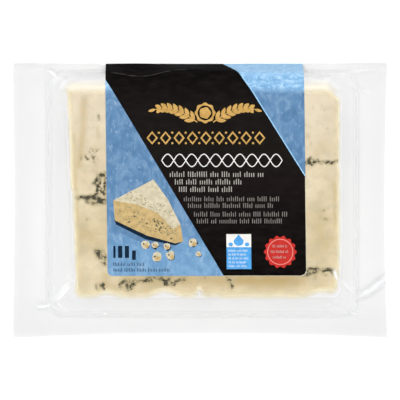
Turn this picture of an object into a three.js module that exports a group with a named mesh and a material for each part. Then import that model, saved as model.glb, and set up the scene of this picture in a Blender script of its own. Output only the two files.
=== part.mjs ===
// A vacuum pack of blue-veined cheese, lying on its back: a rectangular slab of cheese in a clear
// pouch with a flat seal flange, and a strip label that runs up the front, bends round the
// pouch's top edge and comes back under the slab.
// Millimetres. +X is the pack's right as it is read, +Y its top, +Z out of its front.
// The origin is on the table, under the middle of the pack.
import * as THREE from "three";

// Label strip
const labelThickness = 0.25;
const labelGap = 0.3; // clearance between the strip and the film it is stuck to
const labelWidth = 79.6;
const labelFrontEnd = -30.2;
const labelBackEnd = -22;
const labelCornerRadius = 2;
const labelCentreX = 2.83; // at the front panel's lower end
const labelLean = 0.012; // sideways shift for each millimetre of strip
const labelFoldRadius = 0.8; // where the strip turns under the pouch's top edge
const labelApronReach = 2.4; // how far past the seal the strip still lies on the bent flange

// Slab of cheese, as an outline seen from above and a thickness
const slabTop = 45.9;
const slabBottom = -38.7;
const slabRight = 56.2;
const slabLeftAtTop = -53.2;
const slabLeftAtBottom = -49.8; // the left side is cut a little out of square
const slabCornerRadius = 3.5;
const slabThickness = 13.35;
const slabBaseRadius = 2.2;
const slabFaceSag = 0.45; // how far the front face falls away towards its corners
const slabFaceWave = 0.12;

// Film pouch
const pouchBase = labelThickness + labelGap;
const faceHeight = pouchBase + slabThickness;
const flangeHeight = 10.8; // top of the seal flange above the table
const flangeThickness = 0.4;
const flangeDroop = 0.9; // at the outer edge of the side and bottom flanges
const flangeRipple = 0.3;
const sealLeft = -60;
const sealRight = 62.2;
const sealBottom = -45.2;
const sealTop = 51.05;
const sealCornerRadius = 5;
const outerHalfWidth = 75.1; // at the corners
const outerBottom = -55;
const outerTop = 54.55;
const sideBow = { left: 0.5, right: 1, bottom: 1.8 }; // how far each edge is drawn in at its middle

// Where the film leaves the slab
const filmLift = 1.8; // inside the slab's outline, on its front face
const filmSag = 0.35; // of the stretch between slab and seal
const wallRun = 0.5; // how far the clinging side wall leans out
const wallFoot = 2.6; // height of the rounded foot of the slab
const wallHeight = 5.45; // above the base, where the film leaves the slab's side

// Top flange, bent down by the label
const apronSlope = Math.tan(THREE.MathUtils.degToRad(68.5));
const apronBend = 0.5;
const apronStiffening = 25; // over this length below it, the side flanges lose their droop

// Creases of the film from the slab's corners to the seal's
const creaseHeight = 0.7;
const creaseWidth = 1.1;
const creases = [
  [[-52.5, 45], [-63, 53]],
  [[54, 44], [62, 51]],
  [[-50, -36.5], [-60.5, -44.5]],
  [[55.2, -29], [65.5, -41.5]],
];

// Mesh spacing
const flangeShares = [0, 0.15, 0.4, 0.7]; // from the outer edge to the seal
const bridgeShares = [0, 0.1, 0.25, 0.46, 0.66, 0.84]; // from the seal to the slab
const slabInsets = [0, 0.5, 1.1, 2.2, 4.5]; // in from the slab's outline
const slabColumns = 9;
const slabRows = 7;
const labelColumns = 14;
const labelFrontRows = 12;
const labelBackRows = 4;
const labelFoldSteps = 7;
const labelCornerShares = [0, 0.08, 0.3, 0.62, 1];
const labelBendRows = [-8.5, -7, -6, -4.6, -3, -1.6, -0.7, -0.2, 0.1, 0.5, 1.2, labelApronReach]; // past the seal

const clamp01 = (value) => Math.min(1, Math.max(0, value));
const mix = (a, b, t) => a + (b - a) * t;

// Signed distance from a rectangle with rounded corners, negative inside.
function roundedRectangle(x, y, left, right, bottom, top, radius) {
  const outX = Math.max(left - x, x - right) + radius;
  const outY = Math.max(bottom - y, y - top) + radius;
  return Math.hypot(Math.max(outX, 0), Math.max(outY, 0)) + Math.min(Math.max(outX, outY), 0) - radius;
}

function slabLeft(y) {
  return mix(slabLeftAtBottom, slabLeftAtTop, (y - slabBottom) / (slabTop - slabBottom));
}

function outsideSlab(x, y) {
  return roundedRectangle(x, y, slabLeft(y), slabRight, slabBottom, slabTop, slabCornerRadius);
}

function outsideSeal(x, y) {
  return roundedRectangle(x, y, sealLeft, sealRight, sealBottom, sealTop, sealCornerRadius);
}

// The slab's front face is a little crowned and uneven.
function faceZ(x, y) {
  const acrossX = (x - (slabRight + slabLeftAtTop) / 2) / slabRight;
  const acrossY = (y - (slabTop + slabBottom) / 2) / slabTop;
  const wave = Math.sin(x / 9 + y / 17) * Math.cos(y / 11 - x / 31);
  return faceHeight - slabFaceSag * (acrossX ** 4 + acrossY ** 4) + slabFaceWave * (wave - 1);
}

// Height lost down the bent top flange.
function apronDrop(y) {
  const run = y - sealTop;
  return (apronSlope * (run + Math.hypot(run, apronBend))) / 2;
}

function flangeZ(x, y) {
  const outX = Math.max(sealLeft - x, x - sealRight, 0) / (outerHalfWidth - sealRight);
  const outY = Math.max(sealBottom - y, 0) / (sealBottom - outerBottom);
  const free = clamp01((sealTop - y) / apronStiffening);
  const ripple = Math.sin(y / 13) * outX + Math.sin(x / 17) * outY;
  return flangeHeight + free * (flangeRipple * ripple - flangeDroop * Math.max(outX, outY) ** 2);
}

function creaseZ(x, y) {
  let height = 0;
  for (const [[ax, ay], [bx, by]] of creases) {
    const length = Math.hypot(bx - ax, by - ay);
    const along = ((x - ax) * (bx - ax) + (y - ay) * (by - ay)) / length ** 2;
    const off = ((x - ax) * (by - ay) - (y - ay) * (bx - ax)) / length;
    const fade = Math.sin(Math.PI * clamp01(along));
    height += creaseHeight * fade * Math.exp(-((off / creaseWidth) ** 2));
  }
  return height;
}

// Share of the way from the slab to the seal, 0 on the slab and 1 on the flange.
function shareToSeal(offSlab, offSeal) {
  if (offSlab <= 0) return 0;
  if (offSeal >= 0) return 1;
  return offSlab / (offSlab - offSeal);
}

function frontZ(x, y) {
  const share = shareToSeal(outsideSlab(x, y) + filmLift, outsideSeal(x, y));
  const fall = share + filmSag * share * (1 - share);
  return mix(faceZ(x, y), flangeZ(x, y), fall) - apronDrop(y) + creaseZ(x, y);
}

function backZ(x, y) {
  const off = outsideSlab(x, y);
  if (off <= -slabBaseRadius) return pouchBase;
  if (off <= 0) {
    const round = off / slabBaseRadius + 1;
    return pouchBase + wallFoot * (1 - Math.sqrt(1 - round ** 2));
  }
  if (off <= wallRun) return pouchBase + mix(wallFoot, wallHeight, off / wallRun);
  const slope = apronSlope * clamp01((y - sealTop) / apronBend);
  const flangeDepth = flangeThickness * Math.hypot(1, slope);
  const underFlange = flangeZ(x, y) - apronDrop(y) - flangeDepth + creaseZ(x, y);
  const share = shareToSeal(off - wallRun, outsideSeal(x, y));
  return mix(pouchBase + wallHeight, underFlange, 1 - (1 - share) ** 2);
}

// Grid lines across the pouch, each as [zone, share of the zone]. The five zones are the near
// flange, the near bridge of film, the slab, the far bridge and the far flange.
function gridLines(slabSpan, slabCount) {
  const near = [
    ...flangeShares.map((share) => [0, share]),
    ...bridgeShares.map((share) => [1, share]),
    ...slabInsets.map((inset) => [2, inset / slabSpan]),
  ];
  const far = near.map(([zone, share]) => [4 - zone, 1 - share]).reverse();
  const first = slabInsets[slabInsets.length - 1] / slabSpan;
  const middle = [];
  for (let i = 1; i < slabCount; i++) middle.push([2, mix(first, 1 - first, i / slabCount)]);
  return [...near, ...middle, ...far];
}

// The edges of the five zones at a height up the pack, and at a place across it.
function columnEdges(y) {
  const bow = 1 - ((2 * y) / (outerTop - outerBottom)) ** 2;
  const left = -outerHalfWidth + sideBow.left * bow;
  const right = outerHalfWidth - sideBow.right * bow;
  return [left, sealLeft, slabLeft(y), slabRight, sealRight, right];
}

function rowEdges(x) {
  const bow = 1 - (x / outerHalfWidth) ** 2;
  return [outerBottom + sideBow.bottom * bow, sealBottom, slabBottom, slabTop, sealTop, outerTop];
}

const onLine = (edges, [zone, share]) => mix(edges[zone], edges[zone + 1], share);

// The grid's rim as [column, row], once round.
function rimOf(columns, rows) {
  const rim = [];
  for (let i = 0; i < columns; i++) rim.push([i, 0]);
  for (let j = 1; j < rows; j++) rim.push([columns - 1, j]);
  for (let i = columns - 2; i >= 0; i--) rim.push([i, rows - 1]);
  for (let j = rows - 2; j > 0; j--) rim.push([0, j]);
  return rim;
}

// A closed geometry between two grids of points, with a rim that joins their edges.
function closedSheet(front, back) {
  const columns = front.length;
  const rows = front[0].length;
  const at = (side, i, j) => (side * columns + i) * rows + j;
  const index = [];
  for (let i = 0; i + 1 < columns; i++) {
    for (let j = 0; j + 1 < rows; j++) {
      for (const side of [0, 1]) {
        const corners = [at(side, i, j), at(side, i + 1, j), at(side, i + 1, j + 1), at(side, i, j + 1)];
        if (side === 1) corners.reverse();
        const [a, b, c, d] = corners;
        index.push(a, b, c, a, c, d);
      }
    }
  }
  const rim = rimOf(columns, rows);
  rim.forEach(([i, j], k) => {
    const [ni, nj] = rim[(k + 1) % rim.length];
    index.push(at(0, i, j), at(1, i, j), at(1, ni, nj), at(0, i, j), at(1, ni, nj), at(0, ni, nj));
  });
  const geometry = new THREE.BufferGeometry();
  const positions = [...front.flat(2), ...back.flat(2)];
  geometry.setAttribute("position", new THREE.Float32BufferAttribute(positions, 3));
  geometry.setIndex(index);
  geometry.computeVertexNormals();
  return geometry;
}

function pouchGeometry() {
  const across = gridLines(slabRight - slabLeftAtTop, slabColumns);
  const up = gridLines(slabTop - slabBottom, slabRows);
  const plan = across.map((column) =>
    up.map((row) => {
      const y = onLine(rowEdges(onLine(columnEdges(0), column)), row);
      return [onLine(columnEdges(y), column), y];
    }),
  );
  const front = plan.map((column) => column.map(([x, y]) => [x, y, frontZ(x, y)]));
  const back = plan.map((column) => column.map(([x, y]) => [x, y, backZ(x, y)]));
  return closedSheet(front, back);
}

// The middle of the strip's thickness where it lies on the film at x, y, as [y, z].
function onFilm(x, y) {
  const step = 0.01;
  const slope = (frontZ(x, y + step) - frontZ(x, y - step)) / (2 * step);
  const length = Math.hypot(1, slope);
  const offset = labelGap + labelThickness / 2;
  return [y - (slope / length) * offset, frontZ(x, y) + offset / length];
}

// The fold: an arc that leaves the bent flange and ends level with the table.
function foldFrom([startY, startZ]) {
  const leave = Math.atan(apronSlope);
  const centreZ = labelThickness / 2 + labelFoldRadius;
  const drop = startZ - centreZ - labelFoldRadius * Math.cos(leave);
  const centreY = startY + drop / apronSlope - labelFoldRadius * Math.sin(leave);
  const arc = [];
  for (let i = 0; i <= labelFoldSteps; i++) {
    const angle = mix(Math.PI / 2 - leave, -Math.PI / 2, i / labelFoldSteps);
    arc.push([centreY + labelFoldRadius * Math.cos(angle), centreZ + labelFoldRadius * Math.sin(angle)]);
  }
  return arc;
}

// The strip's line in the YZ plane at x: up the front, down the bent flange, round the fold and
// back along the table.
function labelLine(x) {
  const frontStart = labelFrontEnd + labelCornerRadius;
  const bendStart = sealTop + labelBendRows[0];
  const line = labelCornerShares.map((share) => onFilm(x, labelFrontEnd + share * labelCornerRadius));
  for (let i = 1; i < labelFrontRows; i++) line.push(onFilm(x, mix(frontStart, bendStart, i / labelFrontRows)));
  for (const past of labelBendRows) line.push(onFilm(x, sealTop + past));
  line.push(...foldFrom(line[line.length - 1]));

  const floorZ = labelThickness / 2;
  const backStart = line[line.length - 1][0];
  const backStop = labelBackEnd + labelCornerRadius;
  for (let i = 1; i < labelBackRows; i++) line.push([mix(backStart, backStop, i / labelBackRows), floorZ]);
  for (const share of [...labelCornerShares].reverse()) {
    line.push([labelBackEnd + share * labelCornerRadius, floorZ]);
  }
  return line;
}

// Distance along a line of points up to each of them.
function runningLength(line) {
  const along = [0];
  for (let k = 1; k < line.length; k++) {
    along.push(along[k - 1] + Math.hypot(line[k][0] - line[k - 1][0], line[k][1] - line[k - 1][1]));
  }
  return along;
}

// Half the strip's width at a distance from its nearer end, where the corners are rounded.
function labelHalfWidth(fromEnd) {
  const into = labelCornerRadius - Math.min(fromEnd, labelCornerRadius);
  return labelWidth / 2 - labelCornerRadius + Math.sqrt(labelCornerRadius ** 2 - into ** 2);
}

// One column of the strip, its outer and its inner face, at a place across it from -1 to 1.
function labelColumn(across) {
  const line = labelLine(labelCentreX + (across * labelWidth) / 2);
  const along = runningLength(line);
  const total = along[along.length - 1];
  const face = (side) =>
    line.map(([y, z], k) => {
      const [beforeY, beforeZ] = line[Math.max(k - 1, 0)];
      const [afterY, afterZ] = line[Math.min(k + 1, line.length - 1)];
      const off = (side * labelThickness) / 2 / Math.hypot(afterY - beforeY, afterZ - beforeZ);
      const half = labelHalfWidth(Math.min(along[k], total - along[k]));
      const x = labelCentreX - labelLean * along[k] + across * half;
      return [x, y - (afterZ - beforeZ) * off, z + (afterY - beforeY) * off];
    });
  return { outer: face(1), inner: face(-1) };
}

function labelGeometry() {
  const columns = [];
  for (let i = 0; i <= labelColumns; i++) columns.push(labelColumn(mix(-1, 1, i / labelColumns)));
  return closedSheet(columns.map(({ outer }) => outer), columns.map(({ inner }) => inner));
}

function part(name, geometry, color, roughness) {
  const mesh = new THREE.Mesh(geometry, new THREE.MeshStandardMaterial({ color, roughness, metalness: 0 }));
  mesh.name = name;
  return mesh;
}

const pack = new THREE.Group();
pack.add(part("pouch", pouchGeometry(), 0xe6dcc0, 0.25));
pack.add(part("label", labelGeometry(), 0x1d1b19, 0.45));

export default pack;
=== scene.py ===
"""A vacuum pack of blue-veined cheese, lying on its back: clear film, slab and printed strip label.

Lengths are in millimetres until a mesh is made. +X is the pack's right as it is read, +Y its top,
+Z out of its front.
"""
from math import atan2, cos, hypot, pi, radians, sin, sqrt, tan

import bpy
import numpy as np
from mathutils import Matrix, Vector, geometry


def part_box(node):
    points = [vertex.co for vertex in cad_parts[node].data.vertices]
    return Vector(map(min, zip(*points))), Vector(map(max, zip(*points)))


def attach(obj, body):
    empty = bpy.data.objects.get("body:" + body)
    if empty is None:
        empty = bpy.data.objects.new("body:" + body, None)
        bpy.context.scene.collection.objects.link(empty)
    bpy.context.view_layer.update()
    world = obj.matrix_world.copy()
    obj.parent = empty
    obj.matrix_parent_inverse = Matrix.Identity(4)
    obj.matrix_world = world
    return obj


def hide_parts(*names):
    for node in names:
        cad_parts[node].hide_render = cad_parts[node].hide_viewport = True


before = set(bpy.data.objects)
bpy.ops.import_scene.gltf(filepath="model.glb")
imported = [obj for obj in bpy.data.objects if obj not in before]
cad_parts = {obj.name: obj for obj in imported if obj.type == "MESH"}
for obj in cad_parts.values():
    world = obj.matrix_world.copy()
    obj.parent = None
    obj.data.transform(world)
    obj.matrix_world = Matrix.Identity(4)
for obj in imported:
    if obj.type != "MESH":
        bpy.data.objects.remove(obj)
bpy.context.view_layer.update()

MM = 0.001

# The frame's own sizes
pouch_low, pouch_high = (np.array(corner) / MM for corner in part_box("pouch"))

# Slab of cheese
SLAB_TOP = 45.9
SLAB_BOTTOM = -38.7
SLAB_RIGHT = 56.2
SLAB_LEFT_AT_TOP = -53.2
SLAB_LEFT_AT_BOTTOM = -49.8
SLAB_CORNER = 3.5
SLAB_TOP_RIGHT_CUT = (53.4, 43.0)  # a point on the cut-off corner
SLAB_BASE = 0.3
FACE_RISE = 13.35  # the face above the pouch's base
SLAB_FACE = pouch_low[2] + FACE_RISE
FACE_SAG = 0.45
FACE_WAVE = 0.12

# Pouch
FLANGE_HEIGHT = 10.8
FLANGE_THICKNESS = 0.2
FLANGE_DROOP = 0.9
FLANGE_RIPPLE = 0.3
SIDE_RIPPLE_LENGTH, BOTTOM_RIPPLE_LENGTH = 13, 17
SEAL_LEFT, SEAL_RIGHT, SEAL_BOTTOM, SEAL_TOP = -60.0, 62.2, -45.2, 51.05
SEAL_CORNER = 5.0
SEAL_STEP = 0.07  # the flange lies this much lower than the film beside it
SEAL_STEP_REACH = 0.4
OUTER_HALF_WIDTH = 75.1
OUTER_BOTTOM = -55.0
SIDE_BOW_LEFT, SIDE_BOW_RIGHT, BOTTOM_BOW = 0.5, 1.0, 1.8
FILM_LIFT = 1.8
FILM_SAG = 0.35
WALL_RUN, WALL_FOOT, WALL_HEIGHT, BASE_RADIUS = 0.5, 2.6, 5.45, 2.2
WALL_CLEARANCE = 0.6

# The top flange, bent down: its foot, and how the bend wanders across the pack
APRON_FOOT_Y, APRON_FOOT_Z = 55.4, 1.75
APRON_FOOT_Y_IN_FOLD = 54.75
APRON_STIFFENING = 25.0
FOLD_SIDE_RUN = 1.5  # over which the foot comes forward beside the label
FOLD_CENTRE_X = 1.75
# The line along which it bends: x, y, softness of the bend, and width of the shoulder before it
BEND_LINE = [
    (-75.2, 51.4, 0.6, 0), (-68, 52.3, 0.6, 0), (-63.8, 53.8, 0.6, 0.5), (-61, 53.1, 0.6, 1.8),
    (-57, 51.3, 0.7, 3.2), (-53.7, 49.3, 0.8, 4), (-50, 48.8, 0.9, 1.6), (-46.5, 48.9, 0.9, 0.4),
    (-41, 49.2, 0.9, 0), (-38, 51.4, 0.5, 0), (-24, 49.7, 0.5, 0), (-8, 52.4, 0.5, 0),
    (8, 51.6, 0.5, 0), (20, 51.1, 0.5, 0), (42.8, 51, 0.5, 0), (45.4, 49.4, 0.9, 0),
    (49.6, 49.1, 0.9, 0), (52, 49.8, 0.8, 0), (57.5, 52, 0.7, 0), (66, 52.4, 0.5, 0),
    (75.2, 53.1, 0.5, 0),
]
SHOULDER_SLOPE, SHOULDER_SOFTNESS = 0.28, 0.5

# Label strip
LABEL_THICKNESS = 0.18
LABEL_GAP = 0.1
LABEL_WIDTH = 79.6
LABEL_FRONT_END = -30.2
LABEL_BACK_END = -22.0
LABEL_CORNER = 2.0
LABEL_RIM = 0.12
LABEL_CENTRE_X = 2.83
LABEL_LEAN = 0.012
LABEL_FOLD_RADIUS = 0.8
FOLD_WORN_FROM, FOLD_WORN_TO = -38.5, -6.0


# Helpers


def mix(a, b, t):
    return a + (b - a) * t


def smoothstep(low, high, value):
    t = np.clip((value - low) / (high - low), 0, 1)
    return t * t * (3 - 2 * t)


def bell(value):
    """1 where the value is 0, falling off smoothly to both sides."""
    return np.exp(-(value**2))


LATTICE_COUNT = 64
SEED_SHIFT_X, SEED_SHIFT_Y = 7.3, 3.1  # cells that a seed moves the lattice by
OCTAVE_DIVISOR = 1.5


def lattice_noise(x, y, size, seed):
    """Smooth noise from -1 to 1 with bumps of about the given size."""
    lattice = np.random.default_rng(seed).uniform(-1, 1, (LATTICE_COUNT, LATTICE_COUNT))
    u = np.asarray(x) / size + seed * SEED_SHIFT_X
    v = np.asarray(y) / size + seed * SEED_SHIFT_Y
    i = np.floor(u).astype(int)
    j = np.floor(v).astype(int)
    s = smoothstep(0, 1, u - i)
    t = smoothstep(0, 1, v - j)
    i0, i1, j0, j1 = (cell % LATTICE_COUNT for cell in (i, i + 1, j, j + 1))
    low = mix(lattice[i0, j0], lattice[i1, j0], s)
    high = mix(lattice[i0, j1], lattice[i1, j1], s)
    return mix(low, high, t)


def fractal_noise(x, y, size, seed, octaves=3):
    total = 0
    for octave in range(octaves):
        total = total + lattice_noise(x, y, size / 2**octave, seed + octave) / 2**octave
    return total / OCTAVE_DIVISOR


def along_path(x, y, path):
    """Distance from a line of points, and the share of its length at the nearest place."""
    points = np.array(path, dtype=float)
    lengths = np.hypot(*(points[1:] - points[:-1]).T)
    reached = np.concatenate([[0], np.cumsum(lengths)])
    nearest = np.full(np.shape(x), np.inf)
    share = np.zeros(np.shape(x))
    for k, length in enumerate(lengths):
        step = (points[k + 1] - points[k]) / length
        offset_x = x - points[k][0]
        offset_y = y - points[k][1]
        run = np.clip(offset_x * step[0] + offset_y * step[1], 0, length)
        distance = np.hypot(offset_x - run * step[0], offset_y - run * step[1])
        closer = distance < nearest
        share = np.where(closer, (reached[k] + run) / reached[-1], share)
        nearest = np.where(closer, distance, nearest)
    return nearest, share


# The pouch's shape

FACE_WAVE_X, FACE_WAVE_XY, FACE_WAVE_Y, FACE_WAVE_YX = 9, 17, 11, 31


def rounded_rectangle(x, y, left, right, bottom, top, radius):
    """Distance outside a rectangle with rounded corners, negative inside it."""
    out_x = np.maximum(left - x, x - right) + radius
    out_y = np.maximum(bottom - y, y - top) + radius
    outside = np.hypot(np.maximum(out_x, 0), np.maximum(out_y, 0))
    return outside + np.minimum(np.maximum(out_x, out_y), 0) - radius


def slab_left(y):
    return mix(SLAB_LEFT_AT_BOTTOM, SLAB_LEFT_AT_TOP, (y - SLAB_BOTTOM) / (SLAB_TOP - SLAB_BOTTOM))


def outside_corner_cut(x, y):
    return (x - SLAB_TOP_RIGHT_CUT[0] + y - SLAB_TOP_RIGHT_CUT[1]) / sqrt(2)


def outside_slab(x, y):
    body = rounded_rectangle(x, y, slab_left(y), SLAB_RIGHT, SLAB_BOTTOM, SLAB_TOP, SLAB_CORNER)
    return np.maximum(body, outside_corner_cut(x, y))


def outside_seal(x, y):
    return rounded_rectangle(x, y, SEAL_LEFT, SEAL_RIGHT, SEAL_BOTTOM, SEAL_TOP, SEAL_CORNER)


def face_z(x, y):
    across_x = (x - (SLAB_RIGHT + SLAB_LEFT_AT_TOP) / 2) / SLAB_RIGHT
    across_y = (y - (SLAB_TOP + SLAB_BOTTOM) / 2) / SLAB_TOP
    wave = np.sin(x / FACE_WAVE_X + y / FACE_WAVE_XY) * np.cos(y / FACE_WAVE_Y - x / FACE_WAVE_YX)
    return SLAB_FACE - FACE_SAG * (across_x**4 + across_y**4) + FACE_WAVE * (wave - 1)


def along_bend(x, column):
    """A value of the bend's line at x, smooth between the points it is given at."""
    line = np.array(BEND_LINE)
    after = np.clip(np.searchsorted(line[:, 0], x), 1, len(line) - 1)
    start, end = line[after - 1], line[after]
    share = (x - start[..., 0]) / (end[..., 0] - start[..., 0])
    return mix(start[..., column], end[..., column], smoothstep(0, 1, share))


def bend_y(x):
    """Where the top flange bends down."""
    return along_bend(x, 1)


def apron_foot_y(x):
    """The flange's foot lies a little lower where it is inside the label's fold."""
    beside = smoothstep(0, FOLD_SIDE_RUN, np.abs(x - FOLD_CENTRE_X) - LABEL_WIDTH / 2)
    return mix(APRON_FOOT_Y_IN_FOLD, APRON_FOOT_Y, beside)


def apron_slope(x):
    return (FLANGE_HEIGHT - APRON_FOOT_Z) / (apron_foot_y(x) - bend_y(x))


def bent(run, softness):
    """A ramp that starts softly where the run is 0, and its slope there."""
    reach = np.hypot(run, softness)
    return (run + reach) / 2, (1 + run / reach) / 2


def apron_drop(x, y):
    """How far the top flange is bent down, and the slope of that."""
    run = y - bend_y(x)
    main, main_slope = bent(run, along_bend(x, 2))
    shoulder, shoulder_slope = bent(run + along_bend(x, 3), SHOULDER_SOFTNESS)
    end, end_slope = bent(run, SHOULDER_SOFTNESS)
    drop = apron_slope(x) * main + SHOULDER_SLOPE * (shoulder - end)
    return drop, apron_slope(x) * main_slope + SHOULDER_SLOPE * (shoulder_slope - end_slope)


def flange_z(x, y):
    out_x = np.maximum(np.maximum(SEAL_LEFT - x, x - SEAL_RIGHT), 0) / (OUTER_HALF_WIDTH - SEAL_RIGHT)
    out_y = np.maximum(SEAL_BOTTOM - y, 0) / (SEAL_BOTTOM - OUTER_BOTTOM)
    free = np.clip((SEAL_TOP - y) / APRON_STIFFENING, 0, 1)
    ripple = np.sin(y / SIDE_RIPPLE_LENGTH) * out_x + np.sin(x / BOTTOM_RIPPLE_LENGTH) * out_y
    droop = FLANGE_DROOP * np.maximum(out_x, out_y) ** 2
    step = SEAL_STEP * smoothstep(-SEAL_STEP_REACH, SEAL_STEP_REACH, outside_seal(x, y))
    return FLANGE_HEIGHT - step + free * (FLANGE_RIPPLE * ripple - droop)


# Creases of the film, each as its path, height, width and whiteness; the whiteness is partly the
# film's own and partly a painted highlight along the crease
CREASES = [
    ([(-62.6, 53.4), (-58.9, 51), (-56.4, 48.6), (-54.6, 46.2)], 0, 1.9, 0.5),
    ([(-57, 50.2), (-53, 48.6), (-46.4, 48.2)], 0, 1.3, 0.45),
    ([(51.4, 48.6), (53.6, 50.2), (56.6, 51.6)], 0.3, 0.9, 0.5),
    ([(56.6, 51.6), (64, 52.3), (72.2, 52.5)], 0, 0.6, 0.4),
    ([(60.5, 45.6), (64.6, 44.2), (68.6, 42.8)], 0.2, 0.8, 0.35),
    ([(-50.4, -32.6), (-54.8, -37.4), (-58.9, -42)], 0.66, 1.45, 1),
    ([(-65.9, -42.6), (-62.5, -42.6), (-59.2, -42)], 0.5, 0.9, 1),
    ([(-58.4, -40.2), (-54.4, -43.8)], 0.5, 0.85, 0.85),
    ([(-54.6, -38), (-50.8, -40.8)], 0.3, 0.6, 0.5),
    ([(-53.4, -31.7), (-49.6, -29.9)], 0.34, 0.8, 0.6),
    ([(53.6, -27.5), (55, -32)], 0.45, 1.1, 1.6),
    ([(53, -28.8), (57.8, -33.6), (64, -39.8)], 0.36, 0.7, 0.8),
    ([(61.6, -39.6), (68, -36.2), (78, -28.6)], 0.5, 2.5, 0.8),
    ([(52, -39.4), (59, -43.6), (65.6, -47.4)], 0.3, 0.7, 0.5),
    ([(49.5, -43.1), (52.5, -42), (56.5, -39.8)], 0.3, 0.7, 0.5),
    ([(-38.9, -45.3), (-37.2, -45.7)], 0.2, 0.6, 0.9),
    ([(15, -45), (16.8, -45.2)], 0.2, 0.6, 0.7),
]
# The painted highlight's width against the crease's width
CREASE_HIGHLIGHT_WIDTH = 0.6  # the white line against the crease's width


def crease_z(x, y):
    height = np.zeros(np.shape(x))
    for path, ridge, width, _ in CREASES:
        distance, share = along_path(x, y, path)
        fade = np.sin(np.pi * share) ** 0.45
        height += ridge * fade * bell(distance / width)
    return height


def crease_painted_highlight(x, y):
    """Film that is creased is a little white: partly its own whitening, partly a painted highlight."""
    haze_and_painted_light = np.zeros(np.shape(x))
    for path, _, width, whiteness in CREASES:
        distance, share = along_path(x, y, path)
        fade = np.sin(np.pi * share) ** 0.6
        haze_and_painted_light = np.maximum(haze_and_painted_light, whiteness * fade * bell(distance / (CREASE_HIGHLIGHT_WIDTH * width)))
    return np.minimum(haze_and_painted_light, 1.0)


def share_to_seal(off_slab, off_seal):
    """0 on the slab, 1 from the seal on, and even between."""
    share = off_slab / np.maximum(off_slab - off_seal, 1e-6)
    return np.where(off_slab <= 0, 0, np.where(off_seal >= 0, 1, share))


FREE_FROM, FREE_TO = -3, 1  # distance outside the slab over which the film comes free
BROAD_WRINKLE, BROAD_WRINKLE_SIZE = 0.1, 9
FINE_WRINKLE, FINE_WRINKLE_SIZE = 0.025, 2.2


def wrinkle_z(x, y):
    """Small unevenness of the free film, none where it is pressed on the slab's face."""
    free = smoothstep(FREE_FROM, FREE_TO, outside_slab(x, y))
    broad = BROAD_WRINKLE * fractal_noise(x, y, BROAD_WRINKLE_SIZE, 11)
    fine = FINE_WRINKLE * fractal_noise(x * 1.6, y * 0.8, FINE_WRINKLE_SIZE, 21, 2)
    return free * (broad + fine)


def film_bed_z(x, y):
    """The film's front without its creases."""
    share = share_to_seal(outside_slab(x, y) + FILM_LIFT, outside_seal(x, y))
    fall = share + FILM_SAG * share * (1 - share)
    return mix(face_z(x, y), flange_z(x, y), fall) - apron_drop(x, y)[0] + wrinkle_z(x, y)


def film_back_z(x, y):
    off = outside_slab(x, y) - WALL_CLEARANCE
    turn = np.clip(off / BASE_RADIUS + 1, 0, 1)
    foot = SLAB_BASE + WALL_FOOT * (1 - np.sqrt(1 - turn**2))
    wall = SLAB_BASE + mix(WALL_FOOT, WALL_HEIGHT, np.clip(off / WALL_RUN, 0, 1))
    drop, slope = apron_drop(x, y)
    depth = FLANGE_THICKNESS * np.hypot(1, slope)
    under_flange = flange_z(x, y) - drop - depth + crease_z(x, y) + wrinkle_z(x, y)
    share = share_to_seal(off - WALL_RUN, outside_seal(x, y))
    bridge = mix(SLAB_BASE + WALL_HEIGHT, under_flange, share)
    return np.where(off <= 0, foot, np.where(off <= WALL_RUN, wall, bridge))


# Meshes


def mesh_object(name, points, faces):
    mesh = bpy.data.meshes.new(name)
    mesh.from_pydata((np.asarray(points) * MM).tolist(), [], faces)
    mesh.update()
    piece = bpy.data.objects.new(name, mesh)
    bpy.context.scene.collection.objects.link(piece)
    return piece


def closed_sheet(name, front, back):
    """A closed mesh between two grids of points of one plan."""
    columns, rows = front.shape[:2]
    index = np.arange(columns * rows).reshape(columns, rows)
    corners = [index[:-1, :-1], index[1:, :-1], index[1:, 1:], index[:-1, 1:]]
    quads = np.stack(corners, axis=-1).reshape(-1, 4)
    under = quads[:, ::-1] + columns * rows
    rim = np.concatenate([index[:-1, 0], index[-1, :-1], index[:0:-1, -1], index[0, :0:-1]])
    following = np.roll(rim, -1)
    sides = np.stack([rim, rim + columns * rows, following + columns * rows, following], axis=-1)
    points = np.concatenate([front.reshape(-1, 3), back.reshape(-1, 3)])
    return mesh_object(name, points, np.concatenate([quads, under, sides]).tolist())


def set_marks(mesh, marks):
    """Values at a mesh's points that its material reads by name."""
    for name, values in marks.items():
        attribute = mesh.attributes.new(name, "FLOAT", "POINT")
        attribute.data.foreach_set("value", values.astype(np.float32))


# The film: grid lines in each zone across and up, from flange over bridge and slab to flange

COLUMNS_IN_ZONES = (40, 36, 96, 36, 38)
ROWS_IN_ZONES = (26, 32, 76, 22, 32)
SLAB_ZONE = 2
MIDDLE_SPARSENESS = 0.6


def zone_lines(counts):
    """Grid lines as zone and share of it, sparse in the middle of the slab."""
    lines = []
    for zone, count in enumerate(counts):
        for k in range(count):
            share = k / count
            if zone == SLAB_ZONE:
                share -= MIDDLE_SPARSENESS * sin(2 * pi * share) / (2 * pi)
            lines.append((zone, share))
    return [*lines, (len(counts) - 1, 1.0)]


def zone_edges_at(y):
    bow = 1 - (2 * y / (pouch_high[1] - OUTER_BOTTOM)) ** 2
    return [
        -OUTER_HALF_WIDTH + SIDE_BOW_LEFT * bow,
        SEAL_LEFT + 0 * y,
        slab_left(y),
        SLAB_RIGHT + 0 * y,
        SEAL_RIGHT + 0 * y,
        OUTER_HALF_WIDTH - SIDE_BOW_RIGHT * bow,
    ]


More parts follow.
